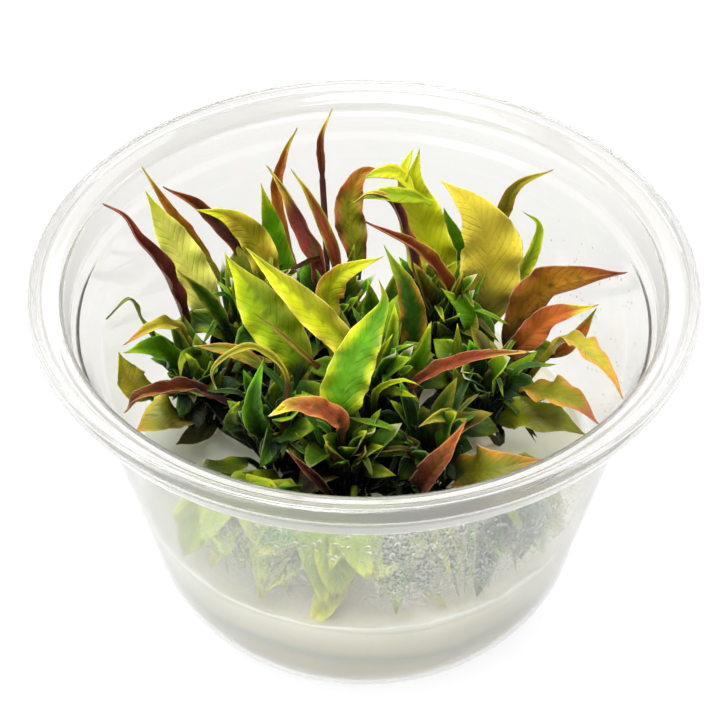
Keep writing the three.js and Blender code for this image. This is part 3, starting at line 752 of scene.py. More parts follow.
# Painted highlight: a pale line laid along each leaf's edge.
pale = blend(tissue, 0.25, veined, blend(tissue, 1.0, veined, EDGE_HIGHLIGHT, "ADD"))
edge_highlight = how_far(tissue, given["Near Edge"], *EDGE_HIGHLIGHT_LINE, 0.0, EDGE_HIGHLIGHT_STRENGTH)
highlit_edge = blend(tissue, edge_highlight, veined, pale)
cells = add_node(tissue, "TexVoronoi", {"Vector": given["Blade"], "Scale": 11.0})
dots = how_far(tissue, cells.outputs["Distance"], *SPOT_SPAN)
spotted = work_out(tissue, "MULTIPLY", dots, given["Spots"])
grain = clouds(tissue, given["Blade"], 42.0, 3.0)
sheen = how_far(tissue, grain, 0.0, 1.0, *SHEEN)
result = tissue.nodes.new("NodeGroupOutput").inputs
for socket, value in (
    ("Colour", blend(tissue, spotted, highlit_edge, given["Spot Colour"])),
    ("Roughness", work_out(tissue, "ADD", sheen, given["Gloss"])),
    ("Height", work_out(tissue, "ADD", work_out(tissue, "MULTIPLY", lines, -0.5), blotch)),
):
    tissue.links.new(value, result[socket])

LEAF_LOOKS = {
    "leaf_bright": dict(veins=0.08, mottle=0.25, gloss=0.40),
    "leaf_green": dict(veins=0.10, mottle=0.45, gloss=0.40),
    "leaf_yellow": dict(veins=0.08, mottle=0.28, gloss=0.42),
    "leaf_olive": dict(veins=0.10, mottle=0.32, gloss=0.44),
    "leaf_mottled": dict(veins=0.10, mottle=0.5, gloss=0.40),
    "leaf_orange": dict(veins=0.18, mottle=0.45, gloss=0.44),
    "leaf_red": dict(veins=0.18, mottle=0.55, gloss=0.44),
    "leaf_purple": dict(veins=0.10, mottle=0.40, gloss=0.42),
    "crown_green": dict(veins=0.2, mottle=0.5, gloss=0.55, shine=0.18),
}


def leaf_finish(name, veins, mottle, gloss, shine=0.3):
    """Living leaf: waxy, a little translucent, with its colours from the leaf's tints, which carry
    painted shade and light.
    """
    made, tree, shader = new_finish(
        name, Subsurface_Weight=0.3, Subsurface_Radius=(0.8, 1.0, 0.35),
        Subsurface_Scale=0.5 * MM, Specular_IOR_Level=shine,
    )
    # This attribute holds the leaf's colour with painted shade and light baked in.
    tint_with_shade = add_node(tree, "Attribute", attribute_name="tint_and_shade").outputs
    look = add_node(tree, "Group", node_tree=tissue)
    for socket, value in (
        ("Tint", tint_with_shade["Color"]), ("Near Edge", tint_with_shade["Alpha"]),
        ("Spots", add_node(tree, "Attribute", attribute_name="spots").outputs["Fac"]),
        ("Blade", add_node(tree, "UVMap", uv_map="blade").outputs["UV"]),
    ):
        tree.links.new(value, look.inputs[socket])
    for socket, value in (
        ("Veins", veins), ("Mottle", mottle), ("Spot Colour", SPOT_TINT), ("Gloss", gloss),
    ):
        look.inputs[socket].default_value = value
    relief = add_node(tree, "Bump", {
        "Height": look.outputs["Height"], "Strength": 0.55, "Distance": 0.25 * MM,
    })
    tree.links.new(look.outputs["Colour"], shader.inputs["Base Color"])
    tree.links.new(look.outputs["Roughness"], shader.inputs["Roughness"])
    tree.links.new(relief.outputs["Normal"], shader.inputs["Normal"])
    return made


leaf_finishes = {name: leaf_finish(name, **look) for name, look in LEAF_LOOKS.items()}
ROOT_TINTS = ((0.55, 0.48, 0.33, 1), (0.86, 0.83, 0.72, 1))
root_finish, tree, shader = new_finish(
    "root_white", Roughness=0.6, Subsurface_Weight=0.2, Subsurface_Scale=0.5 * MM,
)
places = add_node(tree, "TexCoord").outputs["Object"]
tone = blend(tree, clouds(tree, places, 900.0, 3.0), *ROOT_TINTS)
tree.links.new(tone, shader.inputs["Base Color"])

CROWN_RADIUS = 3.2
CROWN_TOP = 25.4
CROWN_STEPS = 20
ROOTS = 9
ROOT_DEPTH = 13
LEAF_FOOT = 2.4
SMALL_TURN = 2.4
SMALL_FORMS = (
    dict(lean=(2, 8), rise=(0.45, 1.0), arch=0.22, width=(3.8, 6.4), stalk=0.42, twist=50),
    dict(lean=(1, 7), rise=(0.6, 1.05), arch=0.10, width=(2.6, 4.6), stalk=0.40, twist=40),
    dict(lean=(3, 11), rise=(0.3, 0.9), arch=0.35, width=(0.9, 1.4), stalk=0.6, twist=0),
    dict(lean=(5, 11), rise=(0.15, 0.6), arch=0.30, width=(3.6, 6.2), stalk=0.35, twist=60),
)
SMALL_TINTS = (
    "deep moss vivid grass", "deep vivid grass grass", "deep moss moss grass",
    "deep deep moss vivid", "deep moss grass lime", "brown moss olive olive",
    "brown brown olive mustard",
)
PALE_TIPS = (0, 0, 0, 0, 0, 0.9)
SPRAY_WIDTHS = (1.2, 4.2, 5.2, 6.2, 7.4)
SPRAY_SWAY = 9
SPRAY_TINTS = {
    "bright": (
        "moss grass lime grass", "moss grass grass lime", "moss vivid grass lime",
        "moss grass lime lime", "deep moss vivid grass",
    ),
    "dull": (
        "deep moss grass grass", "deep moss moss grass", "deep deep moss moss",
        "moss olive olive lime", "moss grass grass lime",
    ),
}
LITTER = 14
WALL_CLEARANCE = 1.2


def way_to(heading):
    """The level direction of a heading."""
    return Vector((math.cos(heading), math.sin(heading), 0))


def up(height):
    """A straight step up."""
    return Vector((0, 0, height))


def start_on(crown, towards, reach):
    """The place on a crown where a leaf starts, on the side that the leaf leans to."""
    heading = math.atan2(towards[1] - crown[1], towards[0] - crown[0])
    return (
        crown[0] + reach * math.cos(heading), crown[1] + reach * math.sin(heading),
        GEL_SURFACE + LEAF_FOOT,
    )


def keep_inside(place):
    """Brings a place back to a little inside the cup's wall."""
    most = wall_radius(place.z) - WALL - WALL_CLEARANCE
    away = math.hypot(place.x, place.y)
    if away <= most:
        return place
    return Vector((place.x * most / away, place.y * most / away, place.z))


def grow_roots(bm, crown):
    """Thin pale roots that go down into the gel."""
    for _ in range(ROOTS):
        way = way_to(random.uniform(0, 2 * math.pi))
        base = Vector((*crown, GEL_SURFACE - 3)) + way * 1.2
        deep = random.uniform(5, ROOT_DEPTH - 2)
        end = base + way * random.uniform(1, 3.5) - up(deep)
        middle = base.lerp(end, 0.5) + way * random.uniform(0.2, 1.2)
        root = dict(
            width=0.5, stalk=0.95, fold=1, tints="root root root root", wave=0, face=(1, 0.2, 0.1),
        )
        carry(bm, root, [base, middle, end], finish=1, **ROOT_MESH)


def grow_tuft(bm, foot, count, tall):
    """Small leaves all round the foot, each of one of the small forms."""
    for i in range(count):
        way = way_to(SMALL_TURN * i + random.uniform(-1.2, 1.2))
        form = random.choice(SMALL_FORMS)
        lean = random.uniform(*form["lean"])
        rise = random.uniform(*form["rise"]) * tall
        start = foot + way * random.uniform(0.4, 2.4)
        aside = Vector((-way.y, way.x, 0)) * random.uniform(-0.5, 0.5) * lean
        tip = keep_inside(foot + way * (2 + lean) + aside + up(1 + rise))
        arched = start.lerp(tip, 0.5) + up(form["arch"] * tall)
        middle = arched - way * 0.12 * lean - aside * 0.6
        leaf = dict(
            width=random.uniform(*form["width"]), stalk=form["stalk"],
            fold=random.uniform(10, 40), sharp=-0.15, wave=0.6, waves=1.5,
            face=(-way.x * 0.5, -way.y * 0.5 - 0.4, 0.9), tints=random.choice(SMALL_TINTS),
            dry=random.choice(PALE_TIPS), twist=random.uniform(-1, 1) * form["twist"],
            belly=random.uniform(0.36, 0.55),
        )
        carry(bm, leaf, [start, middle, tip], **SMALL_MESH)


def grow_spray(bm, foot, least, most, reach, lift, count, tints):
    """Longer leaves that rise and hang over on one side, between two headings in degrees."""
    for _ in range(count):
        way = way_to(math.radians(random.uniform(least, most)))
        start = foot + way * 2
        out = random.uniform(0.8, 1) * reach
        high = random.uniform(0.55, 1) * lift
        aside = Vector((-way.y, way.x, 0)) * random.uniform(-SPRAY_SWAY, SPRAY_SWAY)
        tip = keep_inside(foot + way * out + aside + up(random.uniform(-0.1, 0.8) * high))
        low = foot + way * 0.4 * out + up(0.2 * high)
        bend = keep_inside(foot + way * 0.76 * out + aside * 0.3 + up(high))
        leaf = dict(
            width=random.choice(SPRAY_WIDTHS), stalk=0.42, fold=random.uniform(5, 30), sharp=0,
            belly=random.uniform(0.4, 0.6), face=(0, -0.7, 0.7), wave=0.7, waves=2, tip_from=0.8,
            tints=random.choice(SPRAY_TINTS[tints]), twist=random.uniform(-40, 40),
        )
        carry(bm, leaf, [start, low, bend, tip], **YOUNG_MESH)


def grow_litter(bm, foot, least, most):
    """Low leaves that lie out over the gel, between two headings in degrees."""
    for _ in range(LITTER):
        way = way_to(math.radians(random.uniform(least, most)))
        start = foot + way * 2
        tip = keep_inside(foot + way * random.uniform(6, 13) + up(random.uniform(-0.5, 4)))
        middle = start.lerp(tip, 0.5) + up(random.uniform(0.5, 3))
        leaf = dict(
            width=random.uniform(4.5, 7.5), stalk=0.2, fold=random.uniform(5, 25), sharp=-0.2,
            face=(0, 0, 1), waves=2, tints=random.choice(SMALL_TINTS[:4]),
        )
        carry(bm, leaf, [start, middle, tip], **SMALL_MESH)


def grow_crown(name, crown, young, small, tall, spray=(), litter=(-180, 180)):
    """Makes a crown: the rhizome, its roots, its young leaves, and all the small ones."""
    bm = bmesh.new()
    turn(bm, rounded([
        (0, GEL_SURFACE - 6), (1.6, GEL_SURFACE - 5), (CROWN_RADIUS - 0.3, GEL_SURFACE),
        (CROWN_RADIUS - 0.6, GEL_SURFACE + 2), (1.6, CROWN_TOP - 0.4), (0, CROWN_TOP),
    ], 0.6), CROWN_STEPS, crown)
    for face in bm.faces:
        face.material_index = 1
    grow_roots(bm, crown)
    for row in young:
        leaf = {"stalk": 0.3, "tints": "moss grass moss lime", **row}
        start = start_on(crown, row["path"][0], CROWN_RADIUS / 2)
        carry(bm, leaf, [start, *row["path"]], **YOUNG_MESH)
    foot = Vector((*crown, GEL_SURFACE + LEAF_FOOT))
    grow_tuft(bm, foot, small, tall)
    for side in spray:
        grow_spray(bm, foot, *side)
    grow_litter(bm, foot, *litter)
    made = piece_from(bm, "rhizome_" + name, [leaf_finishes["crown_green"], root_finish])
    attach(made, "root")
    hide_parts("crown_" + name)
    return crown


def grow_leaf(crown, node, colour, lobes=(), **leaf):
    """Makes a grown leaf with its lobes, which stands for the CAD node of that name."""
    bm = bmesh.new()
    start = start_on(crown, leaf["path"][0], CROWN_RADIUS - 0.4)
    carry(bm, leaf, [start, *leaf["path"]], **GROWN_MESH)
    for lobe in lobes:
        carry(bm, {**leaf, "stalk": 0.02, **lobe}, lobe["path"], **YOUNG_MESH)
    slot = "leaf_" + colour
    made = piece_from(bm, node.replace("leaf", "blade"), [leaf_finishes[slot]])
    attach(made, "root")
    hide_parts(node)


random.seed(7)
crown = grow_crown(
    "far_left", (-27, 5), small=36, tall=16, litter=(-70, 60),
    young=[
        dict(path=[(-24.5, 2, 32), (-23, 1, 38)], width=2.4),
        dict(path=[(-27.7, 7.7, 35), (-29.3, 2.5, 39), (-29.6, 0.5, 36)], width=2.4),
        dict(path=[(-25.5, -1, 27.5), (-31, -3.5, 25.5)], width=4, tints="straw lime straw orange"),
    ],
)
grow_leaf(
    crown, "purple_rolled_leaf", "purple", width=5, stalk=0.3, fold=62, face=(0.6, -0.6, 0.5),
    path=[
        (-29, 12.3, 33), (-32.7, 12.9, 50), (-35.7, 12.4, 56), (-37.5, 13.1, 60), (-40.6, 12.5, 63),
    ],
    tints="brown wine wine rust", under="wine", tip_from=0.62,
)
grow_leaf(
    crown, "wall_leaf", "yellow", width=5, stalk=0.35, fold=15, face=(0.5, -0.7, 0.5),
    path=[(-34, 3, 29), (-37.5, -1, 38), (-38, -3, 46)], tints="moss straw olive lime",
)
grow_leaf(
    crown, "bright_leaf_left", "green", width=4.5, stalk=0.4, face=(0, -0.5, 0.85),
    path=[(-31, 6, 35), (-34, 3, 41), (-38, 0, 43)], tints="deep vivid vivid grass",
)
grow_leaf(
    crown, "hair_thin_leaf_left", "olive", width=1, stalk=0.5, fold=30, face=(0, -0.3, 0.95),
    path=[(-34, 11, 34), (-36, 9, 42), (-37, 5, 50), (-40, 0, 50)], tints="moss olive olive moss",
)
grow_leaf(
    crown, "olive_leaf_left", "olive", width=3.2, stalk=0.4, fold=25, face=(0, -0.4, 0.9),
    path=[(-29.5, 10, 37), (-32, 6.6, 43), (-35.5, 1.4, 45.5), (-38, 0, 44.5)],
    tints="moss mustard straw amber",
)
grow_leaf(
    crown, "low_leaf_left", "olive", width=7, stalk=0.3, fold=10, face=(0, -0.3, 0.95),
    path=[(-29, 0, 28), (-32, -4, 33), (-37, -6, 31)], tints="moss olive straw amber",
)

# The back left plant, on a rhizome of its own in the gel: broad mottled leaves that lean back to
# the wall, and narrow brown ones. Its young leaves stand close round the rhizome.
crown = grow_crown(
    "back_left", (-19, 16), small=44, tall=23, litter=(-130, 60),
    young=[
        dict(path=[(-18.5, 20.4, 34), (-22.5, 17, 42)], width=4),
        dict(path=[(-20.8, 19, 37), (-23.2, 20.6, 47)], width=3.2),
        dict(path=[(-16, 14, 33), (-16.6, 11.5, 42)], width=3),
    ],
)
grow_leaf(
    crown, "broad_mottled_leaf", "mottled", width=7, stalk=0.25, face=(0.3, -0.7, 0.6),
    path=[(-25, 17, 34), (-30, 19, 46), (-35, 20, 60)], tints="moss pale pale lime", dark="grass",
    blotch=0.5, sides=(1.15, 1.15),
)
grow_leaf(
    crown, "orange_tip_leaf", "orange", width=2.6, stalk=0.45, fold=40, face=(0.3, -0.7, 0.6),
    path=[(-25, 23, 40), (-31.8, 22.4, 54), (-35.5, 22.3, 63)], tints="olive amber orange straw",
)
grow_leaf(
    crown, "brown_leaf_left", "red", width=3.4, stalk=0.4, fold=45, face=(0, -0.6, 0.8),
    path=[(-20, 23, 42), (-26.5, 24.5, 52), (-32.3, 20.9, 60)], tints="brown plum rust orange",
    tip_from=0.5,
)
grow_leaf(
    crown, "mustard_leaf", "yellow", width=5.5, stalk=0.3,
    path=[(-15.5, 20.8, 36), (-18.5, 22.5, 48), (-22.3, 21.3, 53.5), (-27.4, 19.3, 56.5)],
    tints="brown mustard straw lime", wave=0.6, dark="rust", blotch=0.5,
)
grow_leaf(
    crown, "slender_olive_leaf", "olive", width=2.8, stalk=0.4, fold=30, face=(0.2, -0.7, 0.6),
    path=[(-22, 11, 36), (-25, 9, 46), (-29, 6, 55)], tints="deep moss olive mustard",
)

# The front left plant, on a rhizome of its own in the gel: one folded mottled leaf stands up over
# it, thin leaves arch out to the left, and two low leaves run down to the gel at the front.
crown = grow_crown(
    "front_left", (-14, -6), small=42, tall=19, spray=[(-128, -80, 27, 15, 14, "bright")],
    litter=(-60, 170),
    young=[dict(path=[(-19, -6, 30), (-20.8, -7.5, 35), (-19.1, -9.8, 42)], width=2.6)],
)
grow_leaf(
    crown, "front_folded_leaf", "mottled", width=8, stalk=0.4,
    path=[(-11, -4, 36), (-10.5, -2, 43), (-15, -1, 52), (-21, 2.5, 61)],
    tints="deep grass lime lime", sides=(0.62, 1.05), dark="vivid", blotch=0.4,
    lobes=[
        dict(
            path=[(-6.9, -8.1, 47.5), (-9.6, -8.2, 51), (-12.6, -7.6, 54.2), (-16.6, -6.1, 57)],
            width=1.1, fold=40, tints="brown olive rust olive",
        ),
    ],
)
grow_leaf(
    crown, "green_upright_leaf", "green", width=3.8, stalk=0.25, fold=25,
    path=[(-15.5, -9, 32), (-17, -11, 42), (-15, -9, 50.5)], tints="deep moss vivid vivid",
)
grow_leaf(
    crown, "red_arched_leaf", "red", width=4, stalk=0.4, fold=50, face=(0, -0.3, 0.95),
    path=[
        (-20, -3, 33), (-26.5, -3.5, 38), (-30.8, -7.4, 41.5), (-33.9, -9.6, 43), (-37.6, -8.5, 38),
    ],
    tints="plum rust rust amber", tip_from=0.8, sides=(0.5, 1.05),
)
grow_leaf(
    crown, "small_orange_leaf", "orange", width=2.4, stalk=0.65, fold=25,
    path=[(-11.5, -8.5, 42), (-19, -6, 48.5), (-26, -6, 50)], tints="moss olive amber amber",
    dry=0.9,
)
grow_leaf(
    crown, "hair_thin_leaf_front", "olive", width=1.6, stalk=0.5, fold=40, face=(0, -0.3, 0.95),
    path=[
        (-12.5, -10.5, 38), (-12, -8.5, 47), (-17.1, -7.4, 51), (-22.6, -10.4, 49.5),
        (-22.4, -10.5, 45),
    ],
    tints="brown olive mustard olive", dry=0.9,
)
grow_leaf(
    crown, "low_leaf_front_left", "bright", width=7.5, stalk=0.3, fold=10, face=(0, -0.5, 0.85),
    path=[(-14.9, -14, 30), (-17.3, -22, 31), (-18.2, -27.5, 27.8)], tints="grass lime lime pale",
)
grow_leaf(
    crown, "low_leaf_side", "green", width=6, stalk=0.3, fold=10, face=(-0.2, -0.3, 0.9),
    path=[(-19, -12, 31), (-24, -20, 33), (-27, -24, 26.5)], tints="moss grass lime lime",
)

# The back plant, on a rhizome of its own in the gel: the tallest leaves stand here, thin and dark
# red, with pale tips, one of them above the rim. A broader orange leaf is folded over at its top.
crown = grow_crown(
    "back", (-6, 17), small=36, tall=22,
    young=[
        dict(path=[(-10, 15, 34), (-12, 13, 42)], width=3.4),
        dict(path=[(-3.5, 17, 32), (-1.8, 19.5, 41)], width=3.6),
        dict(
            path=[(-3.1, 18, 38), (-2.2, 17.5, 46), (-1.6, 17.5, 51)], width=3.8,
            tints="deep moss olive olive",
        ),
        dict(path=[(-2.5, 14.5, 33), (0.8, 15, 43)], width=2.6),
        dict(
            path=[(-6.4, 18, 38), (-7, 20.6, 45), (-12, 15.5, 47), (-16.7, 14.6, 45)], width=1.2,
            tints="brown brown brown rust",
        ),
        dict(
            path=[(-11.6, 11, 38), (-12.5, 6.9, 47), (-15, 5.8, 51)], width=3.4,
            tints="deep vivid vivid grass",
        ),
    ],
)
grow_leaf(
    crown, "red_rolled_leaf", "red", width=5.2, stalk=0.3, fold=55, face=(-0.3, -0.7, 0.6),
    path=[(-7, 20, 44), (-10, 23, 50), (-13, 25, 56), (-16, 26, 60.5)],
    tints="wine wine rust straw", tip_from=0.66,
)
grow_leaf(
    crown, "orange_curved_leaf", "orange", width=2.6, stalk=0.4, fold=40,
    path=[(-13, 30, 40), (-14.8, 32.4, 50), (-13, 31.6, 59), (-10.8, 30.1, 65)],
    tints="amber orange amber straw",
)
grow_leaf(
    crown, "slim_leaf", "orange", width=3, stalk=0.4, fold=45,
    path=[(-4.8, 22, 44), (-9, 26, 54), (-12, 27, 59)], tints="wine rust olive straw",
)
grow_leaf(
    crown, "tallest_leaf", "purple", width=1.7, stalk=0.68, fold=40,
    path=[(-6.6, 29.5, 44), (-7, 31.4, 54), (-6.9, 29.9, 63.5), (-5.1, 31.9, 67.5)],
    tints="plum rust rust straw",
)
grow_leaf(
    crown, "green_leaf_back", "green", width=4, stalk=0.35, fold=15,
    path=[(-13, 24, 38), (-15.5, 26, 48.5), (-17, 26, 57)], tints="moss vivid grass lime",
)
grow_leaf(
    crown, "orange_folded_leaf", "orange", width=5.5, stalk=0.4, fold=25,
    path=[(-1, 25, 38), (-2.5, 29, 50), (0, 30.5, 55.5), (4.5, 31, 55)],
    tints="moss olive rust orange", quilt=0.25, wave=0.7, tip_from=0.5,
)

# The front plant, on a rhizome of its own in the gel: the mottled leaf that stands in the middle of
# the cup, a wrinkled orange one, and one that hangs down to the gel behind the front wall.
crown = grow_crown(
    "front", (-3, -12), small=30, tall=17, spray=[(-140, -60, 25, 15, 15, "bright")],
    young=[
        dict(path=[(0, -14, 31), (5, -18, 34)], width=3),
        dict(path=[(-7, -12.5, 31), (-10.5, -13.5, 39)], width=1.6),
        dict(path=[(-9, -15, 27.5), (-14.5, -18, 30)], width=2.4),
        dict(
            path=[(-9, -15.2, 28), (-9.8, -22, 29.5), (-11, -29, 28.4), (-15, -33.4, 25)],
            width=6.5, tints="moss grass grass lime",
        ),
    ],
)
grow_leaf(
    crown, "central_mottled_leaf", "mottled", width=7, stalk=0.42, belly=0.28, fold=15,
    path=[
        (-3.2, -14, 33), (-3.4, -12.4, 45), (-1.1, -10.5, 52.5), (1.7, -8.4, 57), (3, -7, 60),
        (2.1, -5.5, 63),
    ],
    tints="moss vivid lime mustard", tip_from=0.85, sides=(0.85, 1), dark="vivid", blotch=0.7,
)
grow_leaf(
    crown, "curled_orange_leaf", "orange", width=4, stalk=0.5, fold=35, face=(0, -0.5, 0.85),
    path=[
        (-4.2, -14.4, 32), (-3.6, -14.5, 42), (-6.8, -15, 45.3), (-10.6, -15.2, 46.3),
        (-14.3, -16.6, 45.5),
    ],
    tints="brown rust orange straw", quilt=0.34, tip_from=0.55, dry=0.6, sharp=0.1,
)
grow_leaf(
    crown, "thin_red_leaf", "red", width=2, stalk=0.3, fold=45,
    path=[(-5.2, -19, 31), (-8.5, -20.5, 38), (-11.5, -21.5, 43.5)], tints="plum wine rust rust",
    dry=0.9,
)
grow_leaf(
    crown, "hanging_front_leaf", "yellow", width=6, stalk=0.3, fold=12, face=(0, -0.6, 0.8),
    path=[
        (-1.5, -17, 30), (-2, -24, 31.5), (-3.5, -30, 28), (-6.5, -34.5, 22.5), (-9.5, -35.3, 18.5),
    ],
    tints="grass lime lime pale",
)

# The middle plant, on a rhizome of its own in the gel: bright leaves that rise in the centre of the
# clump and spread to both sides, and a narrow spotted red leaf that lies out to the right.
crown = grow_crown(
    "middle", (2, 1), small=46, tall=24,
    young=[
        dict(path=[(8, -1, 40), (10, -3, 52)], width=3),
        dict(path=[(4, -4, 38), (8, -11, 44)], width=2),
        dict(
            path=[(1.6, -6, 38), (2.4, -8.6, 43.6), (6.1, -9.9, 46.6), (9.2, -9, 44)], width=1.3,
            tints="moss grass lime lime",
        ),
        dict(
            path=[(7, 0.4, 36), (9.3, -3.4, 47), (10.2, -4.2, 53.5)], width=3,
            tints="deep vivid grass grass",
        ),
        dict(path=[(1.5, 0, 39), (4.5, -1, 48)], width=2.4),
        dict(
            path=[(1.4, 9, 36), (1.4, 11.5, 42), (0.6, 10.8, 49)], width=4.6,
            tints="deep moss vivid grass",
        ),
        dict(
            path=[(4, 10, 38), (4.6, 11.5, 46), (6, 12, 52)], width=4.2,
            tints="deep moss olive lime",
        ),
    ],
)
grow_leaf(
    crown, "bright_folded_leaf", "bright", width=5.8, stalk=0.4, fold=35,
    path=[(-1, -4, 42), (-3, -4.5, 49), (-9, -3.5, 56), (-18, 2, 63)],
    tints="grass lime straw lime", sides=(0.66, 1),
)
grow_leaf(
    crown, "arched_yellow_leaf", "yellow", width=4.8, stalk=0.4, face=(0.3, -0.6, 0.7),
    path=[(-6, 4, 45), (-4.5, 3.5, 55), (3, 2, 61)], tints="grass lime amber lime",
)
grow_leaf(
    crown, "mottled_upright_leaf", "mottled", width=4.6, stalk=0.25,
    path=[(8, 6.5, 38), (7, 7, 49), (3, 8, 58.5)], tints="deep moss amber grass", dark="deep",
    blotch=0.5,
)
grow_leaf(
    crown, "red_spotted_leaf", "red", width=3, stalk=0.4, fold=45, face=(0, -0.5, 0.85),
    path=[(8, -6, 42), (17, -10, 51.5), (25.5, -12, 54.5)], tints="plum rust rust straw", spots=0.8,
    dry=0.9,
)

# The back right plant, on a rhizome of its own in the gel: the largest leaves of the clump, broad
# and yellow-green, with a thin arched brown leaf and a rolled one in front of them.
crown = grow_crown(
    "back_right", (13, 17), small=40, tall=25,
    young=[
        dict(path=[(13.5, 12.5, 34), (12, 8.5, 42)], width=3.4),
        dict(path=[(11.5, 17.5, 42), (15, 15.5, 49)], width=1.8),
    ],
)
grow_leaf(
    crown, "arched_brown_leaf", "purple", width=3.4, stalk=0.35, fold=55, face=(0, -0.2, 1),
    path=[(9, 18, 42), (7, 20, 50), (4.5, 21.5, 56), (1, 21, 58.5), (-2, 21.5, 56)],
    tints="brown plum rust straw",
)
grow_leaf(
    crown, "big_bright_leaf", "bright", width=9, stalk=0.25, fold=25,
    path=[(13.5, 21.5, 37), (9.6, 24.3, 50), (8.2, 25.6, 57), (9, 26.6, 63.5)],
    tints="moss lime lime lime", dark="grass", blotch=0.5,
    lobes=[
        dict(
            path=[
                (11.1, 23.4, 54.6), (8.4, 22.9, 56.2), (5.9, 22.2, 57.2), (2.7, 21.8, 57.8),
                (-0.9, 21.1, 57),
            ],
            width=3, belly=0.5, sharp=0.9, tints="grass grass lime lime",
        ),
        dict(
            path=[(8.6, 23.4, 56), (5.6, 25.6, 59), (2.3, 24.6, 59.8), (-0.3, 23.5, 59.4)],
            width=2.8, belly=0.5, tints="lime lime straw grass",
        ),
        dict(
            path=[(5.8, 24.6, 56.5), (6.8, 26.2, 60.2), (8, 27.8, 62.5)], width=1.8,
            tints="straw lime lime lime",
        ),
    ],
)
grow_leaf(
    crown, "green_leaf_behind", "green", width=6, stalk=0.3, fold=15,
    path=[(16.5, 26.5, 34), (15.2, 25.5, 44), (13.2, 24.5, 53)], tints="deep vivid vivid vivid",
)
grow_leaf(
    crown, "largest_leaf", "olive", width=11, stalk=0.2, fold=12,
    path=[(20, 18, 34), (20.4, 19.2, 48), (17.8, 19.4, 56), (12.1, 22.1, 60.5)],
    tints="deep straw straw straw", spots=0.2, dark="mustard", blotch=0.5,
)
grow_leaf(
    crown, "olive_tip_leaf", "olive", width=2.8, stalk=0.45, fold=30,
    path=[(21, 25.5, 42), (23.2, 25.9, 51), (25.1, 23.8, 58), (30.4, 22, 62.5)],
    tints="olive olive amber mustard",
)
grow_leaf(
    crown, "tendril_leaf", "green", width=2.6, stalk=0.45, fold=25,
    path=[(25, 23, 36), (28.4, 22.8, 45), (29, 23.9, 50), (26.2, 24.7, 52)],
    tints="moss grass lime grass",
)
grow_leaf(
    crown, "rolled_brown_leaf", "orange", width=4.2, stalk=0.3, fold=55, face=(0, -0.5, 0.85),
    path=[(15, 16, 39), (9.5, 14.5, 51), (0, 12, 60)], tints="brown rust amber rust",
)

# The right plant, on a rhizome of its own in the gel: arched leaves that spread to the right wall,
# one channelled and red, and one that droops over at its tip.
crown = grow_crown(
    "right", (20, 3), small=26, tall=21, litter=(90, 230),
    young=[
        dict(path=[(16, 0, 34), (14, -2, 42)], width=3),
        dict(path=[(15.5, 4, 35), (14.7, 2.5, 47)], width=2.4),
        dict(
            path=[(22.6, 3.6, 30), (25.6, 1.2, 28), (28.6, -1.8, 24)], width=1.1,
            tints="deep deep deep moss",
        ),
        dict(
            path=[(21, -1, 32), (24, -1.6, 33.5), (28.6, 0.9, 35)], width=1,
            tints="deep deep deep moss",
        ),
        dict(
            path=[(22.2, -1, 27), (21.6, -6, 29), (19.4, -6.4, 32)], width=2,
            tints="brown olive olive amber",
        ),
    ],
)
grow_leaf(
    crown, "red_channelled_leaf", "red", width=8, stalk=0.25, fold=38, face=(0, -0.6, 0.8),
    path=[(25, 12, 36), (28, 12.6, 43), (31, 9.6, 49), (35.7, 6.6, 53), (40.7, 4.2, 56)],
    tints="brown amber rust rust", under="rust", wave=0.4, sides=(0.5, 1),
)
grow_leaf(
    crown, "orange_arched_leaf", "orange", width=4.8, stalk=0.35, fold=30, face=(0, -0.6, 0.8),
    path=[(21.5, 6.8, 33), (25.8, 5.5, 40), (29.5, 4, 46.5), (36.3, 1.3, 52)],
    tints="plum orange rust straw",
)
grow_leaf(
    crown, "narrow_orange_leaf", "orange", width=3, stalk=0.5, fold=30,
    path=[(28, 8, 32), (33.5, 6.5, 39), (37, 6, 47)], tints="plum orange amber olive",
)
grow_leaf(
    crown, "drooping_leaf", "olive", width=4.4, stalk=0.45, face=(0.2, -0.4, 0.9),
    path=[(27, 2, 36), (31.2, -2.6, 48), (34.3, -10.1, 51.5), (36.6, -14.6, 51.5), (38, -17.7, 50)],
    tints="olive mustard amber amber",
)
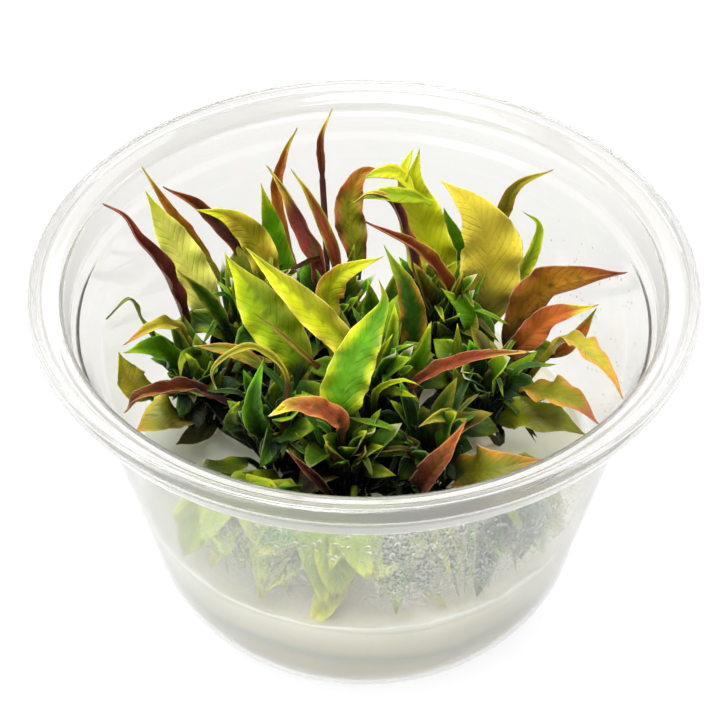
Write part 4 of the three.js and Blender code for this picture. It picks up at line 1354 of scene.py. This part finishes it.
grow_leaf(
    crown, "green_leaf_right", "green", width=5, stalk=0.3, fold=15,
    path=[(20, 11.5, 32), (18.5, 12.7, 38.5), (12.5, 12.8, 45.5)], tints="deep vivid vivid grass",
)
grow_leaf(
    crown, "low_yellow_leaf", "yellow", width=5.5, stalk=0.3, fold=10, face=(0, -0.4, 0.9),
    path=[(22, -3, 31), (27.5, -6, 35), (35.5, -8.5, 33)], tints="moss lime lime olive", wave=0.7,
)
grow_leaf(
    crown, "brown_side_leaf", "olive", width=6, stalk=0.4, face=(0.2, -0.4, 0.9),
    path=[(24.5, 0.2, 34), (28.5, -6, 40), (32.1, -10, 42), (35.6, -14.8, 42)],
    tints="olive olive amber rust",
)

# The front right plant, on a rhizome of its own in the gel: a red leaf with cross wrinkles, a broad
# olive one that lies over to the right, and a low one that rests on the gel at the front.
crown = grow_crown(
    "front_right", (10, -10), small=30, tall=18, spray=[(-110, -35, 27, 15, 18, "dull")],
    litter=(90, 290),
    young=[
        dict(
            path=[(14, -8, 35), (12, -10.4, 39.5), (8.2, -13.5, 40)], width=3.4,
            tints="moss moss straw straw",
        ),
        dict(path=[(12.4, -17, 29), (17, -24, 30.5), (24.5, -28.5, 26.5)], width=5.5),
        dict(
            path=[(11.8, -15.8, 26.5), (13.6, -26, 27), (18, -32.2, 23.6)], width=3.5,
            tints="moss grass lime lime",
        ),
    ],
)
grow_leaf(
    crown, "wrinkled_red_leaf", "red", width=5, stalk=0.25, fold=40, face=(-0.3, -0.6, 0.7),
    path=[(9, -19, 33), (12, -22, 43), (15, -20, 48.5)], tints="plum rust wine orange", quilt=0.32,
)
grow_leaf(
    crown, "broad_olive_leaf", "olive", width=7.5, stalk=0.25, fold=15, face=(0, -0.5, 0.85),
    path=[(14.5, -15, 31), (19, -21, 38.5), (27, -21, 41)], tints="moss olive amber amber",
)
grow_leaf(
    crown, "low_leaf_front_right", "olive", width=6, stalk=0.3, fold=10, face=(0, -0.4, 0.9),
    path=[(5.5, -16, 28.5), (8, -29.5, 26), (12.5, -34.6, 23)], tints="moss moss olive olive",
)
